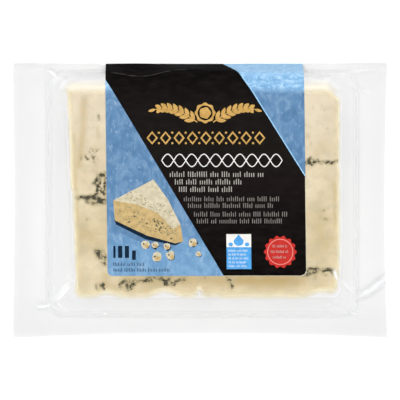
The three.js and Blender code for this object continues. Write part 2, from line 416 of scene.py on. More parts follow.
def film_plan():
    """The film's grid as seen from above: x and y of each point."""
    across, up = zone_lines(COLUMNS_IN_ZONES), zone_lines(ROWS_IN_ZONES)
    middle = zone_edges_at(np.array(0.0))
    x_guess = np.array([mix(middle[zone], middle[zone + 1], share) for zone, share in across])
    bottom = OUTER_BOTTOM + BOTTOM_BOW * (1 - (x_guess / OUTER_HALF_WIDTH) ** 2)
    levels = [bottom, SEAL_BOTTOM, SLAB_BOTTOM, SLAB_TOP, SEAL_TOP, apron_foot_y(x_guess)]
    rows = [mix(levels[zone], levels[zone + 1], share) + 0 * x_guess for zone, share in up]
    y = np.stack(rows, axis=1)
    edges = zone_edges_at(y)
    x = [mix(edges[zone][i], edges[zone + 1][i], share) for i, (zone, share) in enumerate(across)]
    return np.stack(x), y


# The film's tint along the seal and on the flange
SEAL_LINE_WIDTH = 0.35
SEAL_LINE_WANDER = 0.35
FLANGE_TINT, FLANGE_TINT_REACH = 0.1, 0.5  # against the seal line's tint
CORNER_FADE, TOP_FADE = (3, 9), (3, 8)


def seal_tint(x, y):
    """A line along the seal, which leans at the left and fades at the corners, and a fainter flange."""
    off_seal = outside_seal(x, y)
    lean = np.where(x < 0, 0.4 - 0.6 * y / SLAB_TOP, 0)
    wander = SEAL_LINE_WANDER * fractal_noise(x, y, 12, 111)
    line = bell((outside_seal(x + lean, y) + wander) / SEAL_LINE_WIDTH)
    corner_x = np.minimum(x - SEAL_LEFT, SEAL_RIGHT - x)
    corner_y = np.minimum(y - SEAL_BOTTOM, SEAL_TOP - y)
    line = line * smoothstep(*CORNER_FADE, np.maximum(corner_x, corner_y))
    line = line * smoothstep(*TOP_FADE, SEAL_TOP - y)
    return np.maximum(line, FLANGE_TINT * smoothstep(-FLANGE_TINT_REACH, FLANGE_TINT_REACH, off_seal))


# The film's haze, painted light over the shade beside the slab and in place of glare at the
# cheese's edge: its strength where it cups, bends, bridges, tops the slab and meets the lower edge
CUP_PAINTED_LIGHT, EDGE_PAINTED_LIGHT, GAP_PAINTED_LIGHT, TOP_PAINTED_LIGHT, LOWER_PAINTED_LIGHT = 0.6, 0.7, 0.7, 0.75, 0.5
# Where each lies, as distances off the slab, the seal or the cheese, or heights on the pack
CUP_OFF_SLAB, CUP_OFF_SEAL = (-0.8, 1.0), (2.5, -1.5)
EDGE_OFF_CHEESE, EDGE_WIDTH = 0.3, 1.1
GAP_OFF_CHEESE, GAP_OFF_SLAB = (0.0, 0.8), (1.2, 0.2)
TOP_HEIGHTS, TOP_OFF_CHEESE = (41.5, 45.4), (6.0, 2.4)
LOWER_INNER, LOWER_OUTER, LOWER_HEIGHTS = (-3.4, 0.2), (1.5, 0.2), (-33.0, -36.0)


def film_haze_and_painted_light(x, y):
    """How milky the film is, laid as painted light over shade and in place of glare: most where it is
    stretched over the cheese's edge, and above its top.
    """
    off_cheese = outside_cheese(x, y)
    off_slab = outside_slab(x, y)
    cup = smoothstep(*CUP_OFF_SLAB, off_slab) * smoothstep(*CUP_OFF_SEAL, outside_seal(x, y))
    edge = bell((off_cheese - EDGE_OFF_CHEESE) / EDGE_WIDTH)
    gap = smoothstep(*GAP_OFF_CHEESE, off_cheese) * smoothstep(*GAP_OFF_SLAB, off_slab)
    top = smoothstep(*TOP_HEIGHTS, y) * smoothstep(*TOP_OFF_CHEESE, off_cheese)
    lower = smoothstep(*LOWER_INNER, off_cheese) * smoothstep(*LOWER_OUTER, off_cheese)
    lower = lower * smoothstep(*LOWER_HEIGHTS, y)
    parts = [CUP_PAINTED_LIGHT * cup, EDGE_PAINTED_LIGHT * edge, GAP_PAINTED_LIGHT * gap, TOP_PAINTED_LIGHT * top, LOWER_PAINTED_LIGHT * lower]
    return np.maximum.reduce([*parts, crease_painted_highlight(x, y)])


# How far the cream tint of the film's painted light reaches over the cheese's edge and above its top
CREAM_REACH, CREAM_REACH_AT_TOP = 1.1, 2.8
CREAM_SETBACK = 0.9
CREAM_AT_TOP = 0.6
CREAM_TOP_HEIGHTS, CREAM_SIDE_HEIGHTS = (42.0, 45.0), (-36.0, -32.0)


def film_cream_tint(x, y):
    """How creamy the film's painted light is: most over the cheese's edge, furthest out above its top."""
    top = smoothstep(*CREAM_TOP_HEIGHTS, y)
    beside = (1 - top) * smoothstep(*CREAM_SIDE_HEIGHTS, y)
    away = outside_cheese(x, y) + CREAM_SETBACK * beside
    near = np.clip(1 - away / mix(CREAM_REACH, CREAM_REACH_AT_TOP, top), 0, 1)
    return smoothstep(0, 1, near) * mix(1, CREAM_AT_TOP, top) * (1 - crease_painted_highlight(x, y))


def film_piece():
    x, y = film_plan()
    front = np.stack([x, y, film_bed_z(x, y) + crease_z(x, y)], axis=-1)
    back = np.stack([x, y, film_back_z(x, y)], axis=-1)
    film = closed_sheet("film", front, back)
    seal = seal_tint(x, y)
    none = np.zeros(x.shape)
    sides = {
        # Painted light over shade and in place of glare, on the outer skin only
        "haze_and_painted_light": (film_haze_and_painted_light(x, y), none),
        # A cream tint on the painted light near the cheese
        "cream_tint": (film_cream_tint(x, y), none),
        "seal": (seal, seal),
        "front": (none + 1, none),
    }
    set_marks(film.data, {name: np.concatenate([a.ravel(), b.ravel()]) for name, (a, b) in sides.items()})
    return film


# Cheese: its own ragged outline inside the film's walls, veins and cracks

CHEESE_OUTSET = 0.3  # past the outline that the film is drawn over
CHEESE_CORNER = 2.6
CHEESE_CLEARANCE = 0.15
# Hollows in the lower and the right edge, each as its place, width and depth
BOTTOM_DENTS = [
    (-37.4, 4.2, 1.6), (-14.2, 4.8, 2.3), (-0.2, 1.5, 3), (6, 3, 0.6), (48.5, 4.5, 2.2),
    (54.5, 3.5, 1),
]
RIGHT_DENTS = [(-37, 6, 1.7), (14, 1.2, 0.3)]
LEFT_STEP_Y, LEFT_STEP, LEFT_STEP_OUT = 4.5, 0.5, 0.3
LEFT_RAGGED, RIGHT_RAGGED, BOTTOM_RAGGED = 0.15, 0.15, 0.25
FACE_ROUNDING, BASE_ROUNDING = 2.2, 2.6
ROUNDING_STEPS = 6
BLOCK_LIFT = 0.1  # of the plain block above the slab's base
OUTLINE_POINTS = 900
SLAB_MIDDLE_X, SLAB_MIDDLE_Y, SLAB_REACH = 1.5, 3.6, 90.0
HALVINGS = 30
VOXEL = 0.52

VEIN_SPREAD = 1.9
# Veins on the face, each as its path, width, darkness and depth
VEINS = [
    ([(-47.4, 18), (-47.4, 16.6)], 0.4, 0.7, 0.1),
    ([(-46, 18.4), (-45.6, 16.8), (-44.6, 15.8)], 0.35, 0.6, 0.1),
    ([(-43, 18.3), (-42.4, 15.9)], 0.5, 0.75, 0.1),
    ([(-42.4, 20), (-40.6, 20.4)], 0.4, 0.6, 0.05),
    ([(-43.8, 19.6), (-42.2, 15), (-41.6, 11)], 1.3, 0.32, 0.05),
    ([(-40.7, 34.6), (-40.3, 32.6)], 0.35, 0.5, 0.1),
    ([(-40.4, 10.4), (-38.2, 10.8)], 0.45, 0.95, 0.4),
    ([(-41.8, 7.6), (-40.6, 9.2), (-39.9, 10.3)], 0.55, 0.95, 0.4),
    ([(-42, 7.2), (-41.1, 5.4), (-41.4, 2.2)], 0.55, 0.95, 0.4),
    ([(-39.6, 8.6), (-40.2, 6.2)], 0.35, 0.7, 0.3),
    ([(-38.2, 10), (-37.7, 7), (-38.2, 3.4)], 0.4, 0.95, 0.4),
    ([(-39.8, 4.6), (-38.4, 2.9), (-36.5, 2)], 0.4, 0.9, 0.4),
    ([(-50.2, 1), (-48.4, 0.9)], 0.5, 0.35, 0.35),
    ([(-48.2, 0.9), (-46, 1.3), (-42.2, 1.2), (-40.6, 0.4), (-37, 0.1)], 0.6, 1, 0.8),
    ([(-45.2, -0.2), (-43.4, -0.9), (-41.2, -0.4), (-38.8, -1), (-36.4, -0.6)], 0.55, 0.85, 0.3),
    ([(-44.4, -1.3), (-42.8, -1.7), (-40.4, -1.3)], 0.35, 0.5, 0.2),
    ([(-45.3, -7.3), (-45, -7.9)], 0.45, 0.42, 0.1),
    ([(-46.8, -11.4), (-43.8, -13), (-40.4, -13.6), (-36.5, -13.6)], 0.25, 0.3, 0.15),
    ([(-40.7, -20), (-40, -22.2)], 1.1, 1, 0.35),
    ([(-38.4, -20), (-38.1, -24.8)], 0.5, 0.85, 0.3),
    ([(-39.2, -24.6), (-38, -26)], 0.4, 0.9, 0.3),
    ([(-41.6, -33.9), (-41, -35.6)], 0.4, 0.9, 0.3),
    ([(-38.6, -33.2), (-38.2, -36.2)], 0.45, 0.92, 0.3),
    ([(-39.9, -33.4), (-39.4, -35.6)], 0.3, 0.5, 0.2),
    ([(-31.8, -34.6), (-31.6, -33.4), (-29.6, -32.8)], 0.6, 0.95, 0.3),
    ([(-28.9, -32.2), (-29.1, -35.2)], 0.75, 1, 0.3),
    ([(-26.8, -32), (-27.4, -35)], 0.65, 0.95, 0.3),
    ([(-25, -32.6), (-20.8, -32.2), (-17.6, -30.8)], 0.65, 0.95, 0.3),
    ([(-15.8, -31.4), (-13.8, -33), (-12.6, -31.2)], 0.65, 0.95, 0.3),
    ([(-12.6, -33.6), (-10.4, -33.6), (-8.6, -32.2), (-6.2, -31.4)], 0.62, 0.88, 0.35),
    ([(-11.6, -34.7), (-10.8, -34.7)], 0.35, 0.5, 0.1),
    ([(0, -31.2), (4.2, -31)], 0.5, 0.35, 0.1),
    ([(10.8, -31), (12.1, -32.6), (12.6, -34.8)], 0.55, 0.9, 0.3),
    ([(45, 38), (45, 36.6)], 0.3, 0.32, 0.1),
    ([(48.4, 38.4), (48.6, 36.4)], 0.3, 0.36, 0.1),
    ([(49.8, 37.6), (50, 36.2)], 0.3, 0.32, 0.1),
    ([(43.1, 26.2), (43.3, 25.1)], 0.55, 0.5, 0.2),
    ([(44.1, 23.3), (44.2, 22.3)], 0.4, 0.5, 0.2),
    ([(50.8, 29), (51.2, 28.8)], 0.3, 0.3, 0.1),
    ([(40.5, 14.4), (42.8, 15), (44, 16.2), (45, 14.6), (46.8, 15.9), (48.4, 14.7)], 0.58, 1, 0.5),
    ([(48.4, 15.4), (50.6, 15.4), (52.6, 14.9), (55.2, 16.2)], 0.48, 0.9, 0.35),
    ([(48.6, -4.6), (50.4, -3.4), (52, -2)], 0.5, 0.3, 0.1),
    ([(49.5, -7.6), (51.2, -7.4)], 0.4, 0.42, 0.1),
    ([(42.9, -28.2), (45.2, -27.4), (47.8, -27.8)], 0.6, 0.9, 0.35),
    ([(42, -29.9), (44.4, -29.5), (46.7, -29)], 0.65, 0.95, 0.3),
    ([(48.4, -28.2), (50.4, -27.8), (52.3, -28), (52.6, -29.3), (53.4, -29.7)], 0.5, 0.95, 0.35),
    ([(48.8, -29.8), (51, -29.9)], 0.35, 0.6, 0.1),
    ([(45.8, -31.2), (46.6, -30.7)], 0.4, 0.65, 0.1),
    ([(-20, 30), (-8, 26), (6, 29)], 0.9, 0.9, 0.4),
    ([(-25, 8), (-10, 2), (8, 4), (22, -2)], 0.9, 0.9, 0.5),
    ([(10, 20), (22, 14), (34, 18)], 0.8, 0.9, 0.4),
    ([(-22, -16), (-4, -20), (14, -16), (30, -21)], 0.9, 0.9, 0.4),
]
# Darker and paler patches of the paste, each as its path, width and tone; the two along the
# label's lower end are partly painted shadow of the label
PASTE_TONES_AND_SHADE = [
    ([(-46.5, 40), (-46.8, 28), (-48.6, 14)], 1.6, 0.9),
    ([(-41, 29.2), (-40.6, 25.4)], 0.8, 0.6),
    ([(-50.4, 26), (-50, 8), (-49, -8)], 0.9, 0.7),
    ([(-46.6, -13), (-40, -17)], 2.6, 0.7),
    ([(-38, -30), (-37, -37)], 2, 0.7),
    # Partly painted shadow under the label's lower end
    ([(-30, -31.4), (0, -31.6), (40.5, -31.8)], 2.6, 1.2),
    ([(14, -31.8), (38, -32)], 2.8, 1.7),
    ([(54, 6), (54.4, -10)], 0.9, 0.8),
    ([(43, -8), (51, -18)], 3.4, 0.5),
    ([(49, 22), (47, 18.5)], 2.4, 0.5),
]


def dent(position, dents):
    return sum(depth * bell((position - centre) / width) for centre, width, depth in dents)


def ragged(position, size, seed):
    """Unevenness of an edge along its length."""
    return fractal_noise(position, 0 * position, size, seed)


def outside_cheese(x, y):
    """Distance outside the slab's own outline, which is ragged along its lower edge."""
    left = slab_left(y) + LEFT_STEP * smoothstep(LEFT_STEP_Y, LEFT_STEP_Y - 1, y)
    left = left - LEFT_STEP_OUT * LEFT_STEP + LEFT_RAGGED * ragged(y, 5, 31)
    right = SLAB_RIGHT - dent(y, RIGHT_DENTS) - RIGHT_RAGGED * (1 + ragged(y, 6, 41))
    bottom = SLAB_BOTTOM + dent(x, BOTTOM_DENTS) + BOTTOM_RAGGED * (1 + ragged(x, 4, 51))
    body = rounded_rectangle(x, y, left, right, bottom, SLAB_TOP, CHEESE_CORNER)
    return np.maximum(body, outside_corner_cut(x, y)) - CHEESE_OUTSET


def cheese_outline(inset):
    """Points where the outline, drawn in by the inset, is met from the slab's middle."""
    angle = np.linspace(0, 2 * np.pi, OUTLINE_POINTS, endpoint=False)
    low = np.zeros(OUTLINE_POINTS)
    high = np.full(OUTLINE_POINTS, SLAB_REACH)
    for _ in range(HALVINGS):
        middle = (low + high) / 2
        x, y = SLAB_MIDDLE_X + middle * np.cos(angle), SLAB_MIDDLE_Y + middle * np.sin(angle)
        inside = outside_cheese(x, y) + inset < 0
        low = np.where(inside, middle, low)
        high = np.where(inside, high, middle)
    return SLAB_MIDDLE_X + low * np.cos(angle), SLAB_MIDDLE_Y + low * np.sin(angle)


def cheese_profile():
    """The block's side from its back up to its face, as inset and height."""
    base = SLAB_BASE + BLOCK_LIFT
    lower, upper = [], []
    for k in range(ROUNDING_STEPS + 1):
        angle = mix(0, np.pi / 2, k / ROUNDING_STEPS)
        low_side, low_end = 1 - sin(angle), 1 - cos(angle)
        lower.append((BASE_ROUNDING * low_side, base + BASE_ROUNDING * low_end))
        upper.append((FACE_ROUNDING * low_end, SLAB_FACE - FACE_ROUNDING * low_side))
    return lower + upper


def cheese_block():
    """The plain block: rings up its side between two flat faces."""
    rings = []
    for inset, z in cheese_profile():
        x, y = cheese_outline(inset)
        rings.append(np.stack([x, y, np.full(len(x), z)], axis=-1))
    count = len(rings[0])
    faces = [list(range(count))[::-1], list(range((len(rings) - 1) * count, len(rings) * count))]
    for k in range(len(rings) - 1):
        for i in range(count):
            j = (i + 1) % count
            faces.append([k * count + i, k * count + j, (k + 1) * count + j, (k + 1) * count + i])
    return mesh_object("cheese", np.concatenate(rings), faces)


def apply_modifiers(piece):
    depsgraph = bpy.context.evaluated_depsgraph_get()
    mesh = bpy.data.meshes.new_from_object(piece.evaluated_get(depsgraph))
    piece.modifiers.clear()
    piece.data = mesh


def mesh_vectors(values, name):
    """A mesh's points or normals as an array."""
    flat = np.empty(len(values) * 3, dtype=np.float32)
    values.foreach_get(name, flat)
    return flat.reshape(-1, 3).astype(float)


VEIN_WANDER, VEIN_WANDER_SIZE = 0.6, 1.8
SIDE_VEIN_DARKNESS, SIDE_VEIN_DEPTH = 0.85, 0.25
ROUGHNESS_SIZE, PIT_SIZE = 1.4, 2.1
ROUGHNESS_DEPTH, PIT_DEPTH = 0.05, 0.18
# The second band is painted light along the rim
EDGE_BAND, LIT_RIM_BAND = (-3.2, -0.3), (-1.9, -0.2)  # distances outside the slab
SINKING = (4, 10)  # heights over which the block bends to the face's own curve
BASE_CLEARANCE = 0.05
SIDE_SHIFT = 200  # keeps the noise of two sides apart
SIDE_DRIFT, SIDE_VEIN_LENGTH, SIDE_VEIN_SQUEEZE = 14, 9, 2.2


def face_veins(x, y):
    """How dark and how deep the face's veins are."""
    wander_x, wander_y = (VEIN_WANDER * fractal_noise(x, y, VEIN_WANDER_SIZE, seed) for seed in (61, 65))
    vein = np.zeros(len(x))
    depth = np.zeros(len(x))
    for path, width, darkness, deep in VEINS:
        distance, share = along_path(x + wander_x, y + wander_y, path)
        cover = bell(distance / (VEIN_SPREAD * width)) * (0.7 + 0.3 * np.sin(np.pi * share))
        vein = np.maximum(vein, darkness * cover)
        depth = np.maximum(depth, deep * cover)
    return vein, depth


def side_veins(position, z, seed):
    """Veins on the sides and the back, as patches of noise drawn out along the slab."""
    drift = 2 * lattice_noise(position, 0 * z, SIDE_DRIFT, seed)
    band = lattice_noise(position, z * SIDE_VEIN_SQUEEZE + drift, SIDE_VEIN_LENGTH, seed + 1)
    return smoothstep(0.35, 0.75, band)


def all_veins(x, y, z, normals, on_face):
    """How dark and how deep the mould is all over the slab."""
    vein, depth = (value * on_face for value in face_veins(x, y))
    on_side = smoothstep(0.5, 0.2, np.abs(normals[:, 2]))
    on_back = smoothstep(-0.3, -0.8, normals[:, 2])
    around = np.where(np.abs(normals[:, 0]) > 0.7, y + SIDE_SHIFT, x)
    side = np.maximum(side_veins(around, z, 71) * on_side, side_veins(x, y, 81) * on_back)
    return np.maximum(vein, SIDE_VEIN_DARKNESS * side), np.maximum(depth, SIDE_VEIN_DEPTH * side)


def face_tone_and_shade(x, y):
    tone_and_shade = np.zeros(len(x))
    for path, width, strength in PASTE_TONES_AND_SHADE:
        distance, _ = along_path(x, y, path)
        tone_and_shade = np.maximum(tone_and_shade, strength * bell(distance / width))
    return tone_and_shade


def sunk_points(points, normals, depth, on_face):
    """The slab's points with cracks, roughness and pits, kept under the film and over its base."""
    x, y, z = points.T
    rough = 0.5 + 0.5 * fractal_noise(x + 3 * z, y - 2 * z, ROUGHNESS_SIZE, 91, 2)
    pits = smoothstep(0.55, 0.8, fractal_noise(x - z, y + z, PIT_SIZE, 101, 2))
    sunk = depth * (0.35 + rough) + ROUGHNESS_DEPTH * rough + PIT_DEPTH * pits * (1 - 0.6 * on_face)
    moved = points - normals * sunk[:, None]
    moved[:, 2] -= (SLAB_FACE - face_z(x, y)) * smoothstep(*SINKING, z)
    roof = film_bed_z(moved[:, 0], moved[:, 1]) - CHEESE_CLEARANCE
    moved[:, 2] = np.minimum(moved[:, 2], roof)
    moved[:, 2] = np.maximum(moved[:, 2], SLAB_BASE + BASE_CLEARANCE)
    return moved


def cheese_piece():
    piece = cheese_block()
    remesh = piece.modifiers.new("even", "REMESH")
    remesh.mode = "VOXEL"
    remesh.voxel_size = VOXEL * MM
    apply_modifiers(piece)
    mesh = piece.data
    mesh.name = "cheese"
    points = mesh_vectors(mesh.vertices, "co") / MM
    normals = mesh_vectors(mesh.vertex_normals, "vector")
    x, y, z = points.T
    on_face = smoothstep(0.3, 0.8, normals[:, 2])
    vein, depth = all_veins(x, y, z, normals, on_face)
    moved = sunk_points(points, normals, depth, on_face)
    mesh.vertices.foreach_set("co", (moved * MM).astype(np.float32).ravel())
    off_cheese = outside_cheese(x, y)
    # The rim band carries painted light along the cheese's outline
    edge, rim = smoothstep(*EDGE_BAND, off_cheese), smoothstep(*LIT_RIM_BAND, off_cheese)
    set_marks(mesh, {"vein": vein, "edge": edge, "rim": rim, "tone_and_shade": face_tone_and_shade(x, y) * on_face})
    mesh.update()
    return piece


# The label's shape: a strip bent along the front, the apron, the fold and the back

STRAIGHT_STEP, NEAR_STEP, BEND_STEP = 0.5, 0.2, 0.06
NEAR_SEAL, NEAR_BEND, ABOVE_FOOT = 9, 1.5, 1.2
SLOPE_STEP = 0.02
FOLD_STEPS, BACK_STEPS = 24, 40
STRIP_COLUMNS = 81
RUN_STEP = 0.1
TANGENT_STEP = 0.15
LAST_CELL = 1.001  # keeps a place inside the table's last cell


def label_profile(x):
    """The middle of the strip's thickness at x, as points y, z and the length run up to each."""
    bend = bend_y(x) - NEAR_BEND
    y = np.concatenate([
        np.arange(LABEL_FRONT_END, SEAL_TOP - NEAR_SEAL, STRAIGHT_STEP),
        np.arange(SEAL_TOP - NEAR_SEAL, bend, NEAR_STEP),
        np.arange(bend, APRON_FOOT_Y_IN_FOLD - ABOVE_FOOT, BEND_STEP),
    ])
    flat_x = np.full(len(y), x)
    height = film_bed_z(flat_x, y)
    rise = film_bed_z(flat_x, y + SLOPE_STEP) - film_bed_z(flat_x, y - SLOPE_STEP)
    slope = rise / (2 * SLOPE_STEP)
    length = np.hypot(1, slope)
    offset = LABEL_GAP + LABEL_THICKNESS / 2
    line_y = y - slope / length * offset
    line_z = height + offset / length

    leave = atan2(line_z[-2] - line_z[-1], line_y[-1] - line_y[-2])
    centre_z = LABEL_THICKNESS / 2 + LABEL_FOLD_RADIUS
    drop = line_z[-1] - centre_z - LABEL_FOLD_RADIUS * cos(leave)
    centre_y = line_y[-1] + drop / tan(leave) - LABEL_FOLD_RADIUS * sin(leave)
    angle = np.linspace(np.pi / 2 - leave, -np.pi / 2, FOLD_STEPS)
    fold_y = centre_y + LABEL_FOLD_RADIUS * np.cos(angle)
    fold_z = centre_z + LABEL_FOLD_RADIUS * np.sin(angle)
    back_y = np.linspace(centre_y, LABEL_BACK_END, BACK_STEPS)[1:]
    line_y = np.concatenate([line_y, fold_y, back_y])
    line_z = np.concatenate([line_z, fold_z, np.full(len(back_y), LABEL_THICKNESS / 2)])
    run = np.concatenate([[0], np.cumsum(np.hypot(np.diff(line_y), np.diff(line_z)))])
    return line_y, line_z, run


class Strip:
    """Places a point of the flat label, across and along it, on the bent strip."""

    def __init__(self):
        self.columns = np.linspace(-LABEL_WIDTH / 2, LABEL_WIDTH / 2, STRIP_COLUMNS)
        lines = [label_profile(FOLD_CENTRE_X + across) for across in self.columns]
        self.length = min(run[-1] for _, _, run in lines)
        self.along = np.arange(0, self.length + RUN_STEP, RUN_STEP)
        self.y = np.array([np.interp(self.along, run, y) for y, _, run in lines])
        self.z = np.array([np.interp(self.along, run, z) for _, z, run in lines])

    def sample(self, table, across, along):
        """A table's value at a place, between its columns and steps."""
        pitch = self.columns[1] - self.columns[0]
        u = np.clip((across - self.columns[0]) / pitch, 0, len(self.columns) - LAST_CELL)
        v = np.clip(along / RUN_STEP, 0, len(self.along) - LAST_CELL)
        i, j = u.astype(int), v.astype(int)
        low = mix(table[i, j], table[i + 1, j], u - i)
        high = mix(table[i, j + 1], table[i + 1, j + 1], u - i)
        return mix(low, high, v - j)

    def rise(self, table, across, along):
        """How a table's value grows along the strip."""
        before, after = along - TANGENT_STEP, along + TANGENT_STEP
        return self.sample(table, across, after) - self.sample(table, across, before)

    def place(self, across, along, off):
        """Points at a distance off the middle of the strip, outward if positive."""
        y, z = (self.sample(table, across, along) for table in (self.y, self.z))
        dy, dz = (self.rise(table, across, along) for table in (self.y, self.z))
        length = np.hypot(dy, dz)
        x = LABEL_CENTRE_X - LABEL_LEAN * along + across
        return np.stack([x, y - dz / length * off, z + dy / length * off], axis=-1)


# Outlines of print, drawn flat: across from the middle, and along from the front's lower end


def box(left, bottom, right, top):
    return [(left, bottom), (right, bottom), (right, top), (left, top)]


def turned(x, y, along, across, turn):
    """A point along and across from a place, in a direction."""
    turned_x = x + along * cos(turn) - across * sin(turn)
    return turned_x, y + along * sin(turn) + across * cos(turn)


def ellipse(x, y, radius_x, radius_y, turn=0.0, count=20):
    angles = [2 * pi * k / count for k in range(count)]
    return [turned(x, y, radius_x * cos(a), radius_y * sin(a), turn) for a in angles]


def ring(x, y, reaches):
    """Points evenly round a middle, each at its own distance."""
    angles = [2 * pi * k / len(reaches) for k in range(len(reaches))]
    return [(x + reach * cos(a), y + reach * sin(a)) for reach, a in zip(reaches, angles)]


def rosette(x, y, radius, lobes):
    count = lobes * 8
    waves = [cos(lobes * (2 * pi * k / count)) for k in range(count)]
    return ring(x, y, [radius * (0.94 + 0.06 * wave) for wave in waves])


def crumb(x, y, radius, rng):
    return ring(x, y, [radius * rng.uniform(0.72, 1.1) for _ in range(9)])


def leaf(x, y, length, width, turn, count=8):
    """A pointed leaf from its stalk end."""
    outline = []
    for side in (1, -1):
        for k in range(count):
            share = k / count if side == 1 else 1 - k / count
            off = side * width / 2 * sin(pi * share) ** 0.8
            outline.append(turned(x, y, length * share, off, turn))
    return outline


def stroke(path, width):
    """A band along a line of points, as one outline."""
    points = np.array(path, dtype=float)
    ahead = np.gradient(points, axis=0)
    ahead /= np.hypot(*ahead.T)[:, None]
    normal = np.stack([-ahead[:, 1], ahead[:, 0]], axis=-1) * width / 2
    return [*map(tuple, points - normal), *map(tuple, (points + normal)[::-1])]


TICK_PITCH, TICK_WIDTH = 0.42, 0.16  # against the tick's height
LOW_TICK = 0.72
WORD_TICKS = (3, 10)


def tick_groups(left, right, base, height, rng):
    """A line of small print as upright ticks in word-like groups."""
    pitch, width = TICK_PITCH * height, TICK_WIDTH * height
    ticks = []
    at = left
    while at < right - 2 * pitch:
        for _ in range(rng.integers(*WORD_TICKS)):
            if at + width > right:
                break
            ticks.append(box(at, base, at + width, base + height * rng.choice([1.0, LOW_TICK])))
            at += pitch
        at += pitch
    return ticks


def inked(ink, outlines):
    return [(ink, outline) for outline in outlines]


# The label's print: wreath, lozenges, braid, small print, boxes, seal and a cut of cheese

WREATH_X, WREATH_REACH, WREATH_Y, WREATH_ARCH, WREATH_BEND = 3.2, 16.5, 61.5, 6.5, 1.9
WREATH_POINTS = 16
LEAF_LEAN = 0.62
STEM_WIDTH = 0.45


def direction(start, end):
    return atan2(end[1] - start[1], end[0] - start[0])


def laurel(side):
    """Half a wreath of paired leaves on a curved stem."""
    shares = np.linspace(0, 1, WREATH_POINTS)
    heights = [WREATH_Y + WREATH_ARCH * sin(WREATH_BEND * t) - t for t in shares]
    stem = [(side * (WREATH_X + WREATH_REACH * t), y) for t, y in zip(shares, heights)]
    shapes = [stroke(stem if side < 0 else stem[::-1], STEM_WIDTH)]
    for k in range(1, WREATH_POINTS - 1, 2):
        turn = direction(stem[k], stem[k + 1])
        for lean in (LEAF_LEAN, -LEAF_LEAN):
            shapes.append(leaf(*stem[k], 4.3 - 0.12 * k, 1.6, turn + lean))
    shapes.append(leaf(*stem[-1], 3.2, 1.2, direction(stem[-2], stem[-1])))
    return shapes


LOZENGES = 9
LOZENGES_LEFT, LOZENGES_RIGHT, LOZENGES_Y, LOZENGE_HEIGHT = -24.0, 24.4, 55.2, 5.4
DOT_RADIUS, DOT_INSET = 0.45, 0.6


def lozenge(x, half_x, half_y):
    y = LOZENGES_Y
    return [(x - half_x, y), (x, y - half_y), (x + half_x, y), (x, y + half_y)]


def ornament_row():
    """A row of open lozenges with dots between."""
    gold, gaps = [], []
    pitch = (LOZENGES_RIGHT - LOZENGES_LEFT) / LOZENGES
    low, high = LOZENGES_Y - LOZENGE_HEIGHT / 2, LOZENGES_Y + LOZENGE_HEIGHT / 2
    for k in range(LOZENGES):
        x = LOZENGES_LEFT + pitch * (k + 0.5)
        for shapes, scale in ((gold, 1.0), (gaps, 0.66)):
            shapes.append(lozenge(x, 0.42 * pitch * scale, LOZENGE_HEIGHT / 2 * scale))
        if k:
            for y in (high - DOT_INSET, low + DOT_INSET):
                gold.append(ellipse(x - pitch / 2, y, DOT_RADIUS, DOT_RADIUS, count=10))
    return inked("gold", gold) + inked("black", gaps)


BRAID_LEFT, BRAID_RIGHT, BRAID_Y, BRAID_HEIGHT = -17.6, 30.6, 46.2, 2.5
BRAID_TURNS, BRAID_POINTS, BRAID_WIDTH = 5, 145, 0.39


def braid():
    """Two thin waves that cross, between a start and an end."""
    along = np.linspace(BRAID_LEFT, BRAID_RIGHT, BRAID_POINTS)
    phase = (along - along[0]) / (along[-1] - along[0]) * 2 * pi * BRAID_TURNS
    waves = []
    for sign in (1, -1):
        path = [(x, BRAID_Y + sign * BRAID_HEIGHT * sin(p)) for x, p in zip(along, phase)]
        waves.append(stroke(path, BRAID_WIDTH))
    return inked("white", waves)


# The edge between the cut's top and its side, and the fields on both sides of it
WEDGE_EDGE = [(-37.2, 30.2), (-28, 28.6), (-19.4, 25.2), (-13.4, 18.6), (-10.4, 20.6)]
WEDGE_TOP = [WEDGE_EDGE[0], (-21, 38.6), (-15.2, 30.4), *WEDGE_EDGE[:0:-1]]
WEDGE_SIDE = [*WEDGE_EDGE, (-9.4, 13.8), (-12.6, 13), (-24, 16.2), (-36.6, 22.2)]
WEDGE_SHADE = [
    (-36.9, 22.6), (-24, 16.2), (-12.6, 13), (-9.4, 13.8), (-12.4, 12.2), (-24.4, 14.6), (-36.2, 20.6),
]
WEDGE_CAST = [
    (-38.6, 27), (-36, 24), (-12, 13.4), (-14, 10.8), (-25, 12.8), (-33.4, 16.6), (-38, 20.8),
]
# Crumbs before the cut, each as its place and radius
CRUMBS = [
    (-24.6, 12.6, 1.9), (-20.8, 12.3, 1.5), (-16, 11.8, 1.6), (-20.2, 7.6, 2.1), (-14.6, 8.2, 2),
    (-5.6, 13.4, 1.9), (-3.4, 8.8, 1.2),
]
SIDE_SPECKS, TOP_SPECKS = 110, 46


def crumb_print(x, y, radius, rng):
    """A crumb with its shadow, its shaded side and one speck."""
    return [
        ("navy", crumb(x + 0.2, y - 0.35, radius, rng)),
        ("cut_face", crumb(x, y, radius, rng)),
        ("cut_side", crumb(x + 0.3 * radius, y - 0.3 * radius, 0.5 * radius, rng)),
        ("speck", crumb(x - 0.3 * radius, y + 0.1 * radius, 0.22 * radius, rng)),
    ]


def speck_print(x, y, inks, longest, thickness, rng):
    ink = rng.choice(inks)
    return ink, ellipse(x, y, rng.uniform(0.2, longest), rng.uniform(*thickness), rng.uniform(-0.9, 0.4), 8)


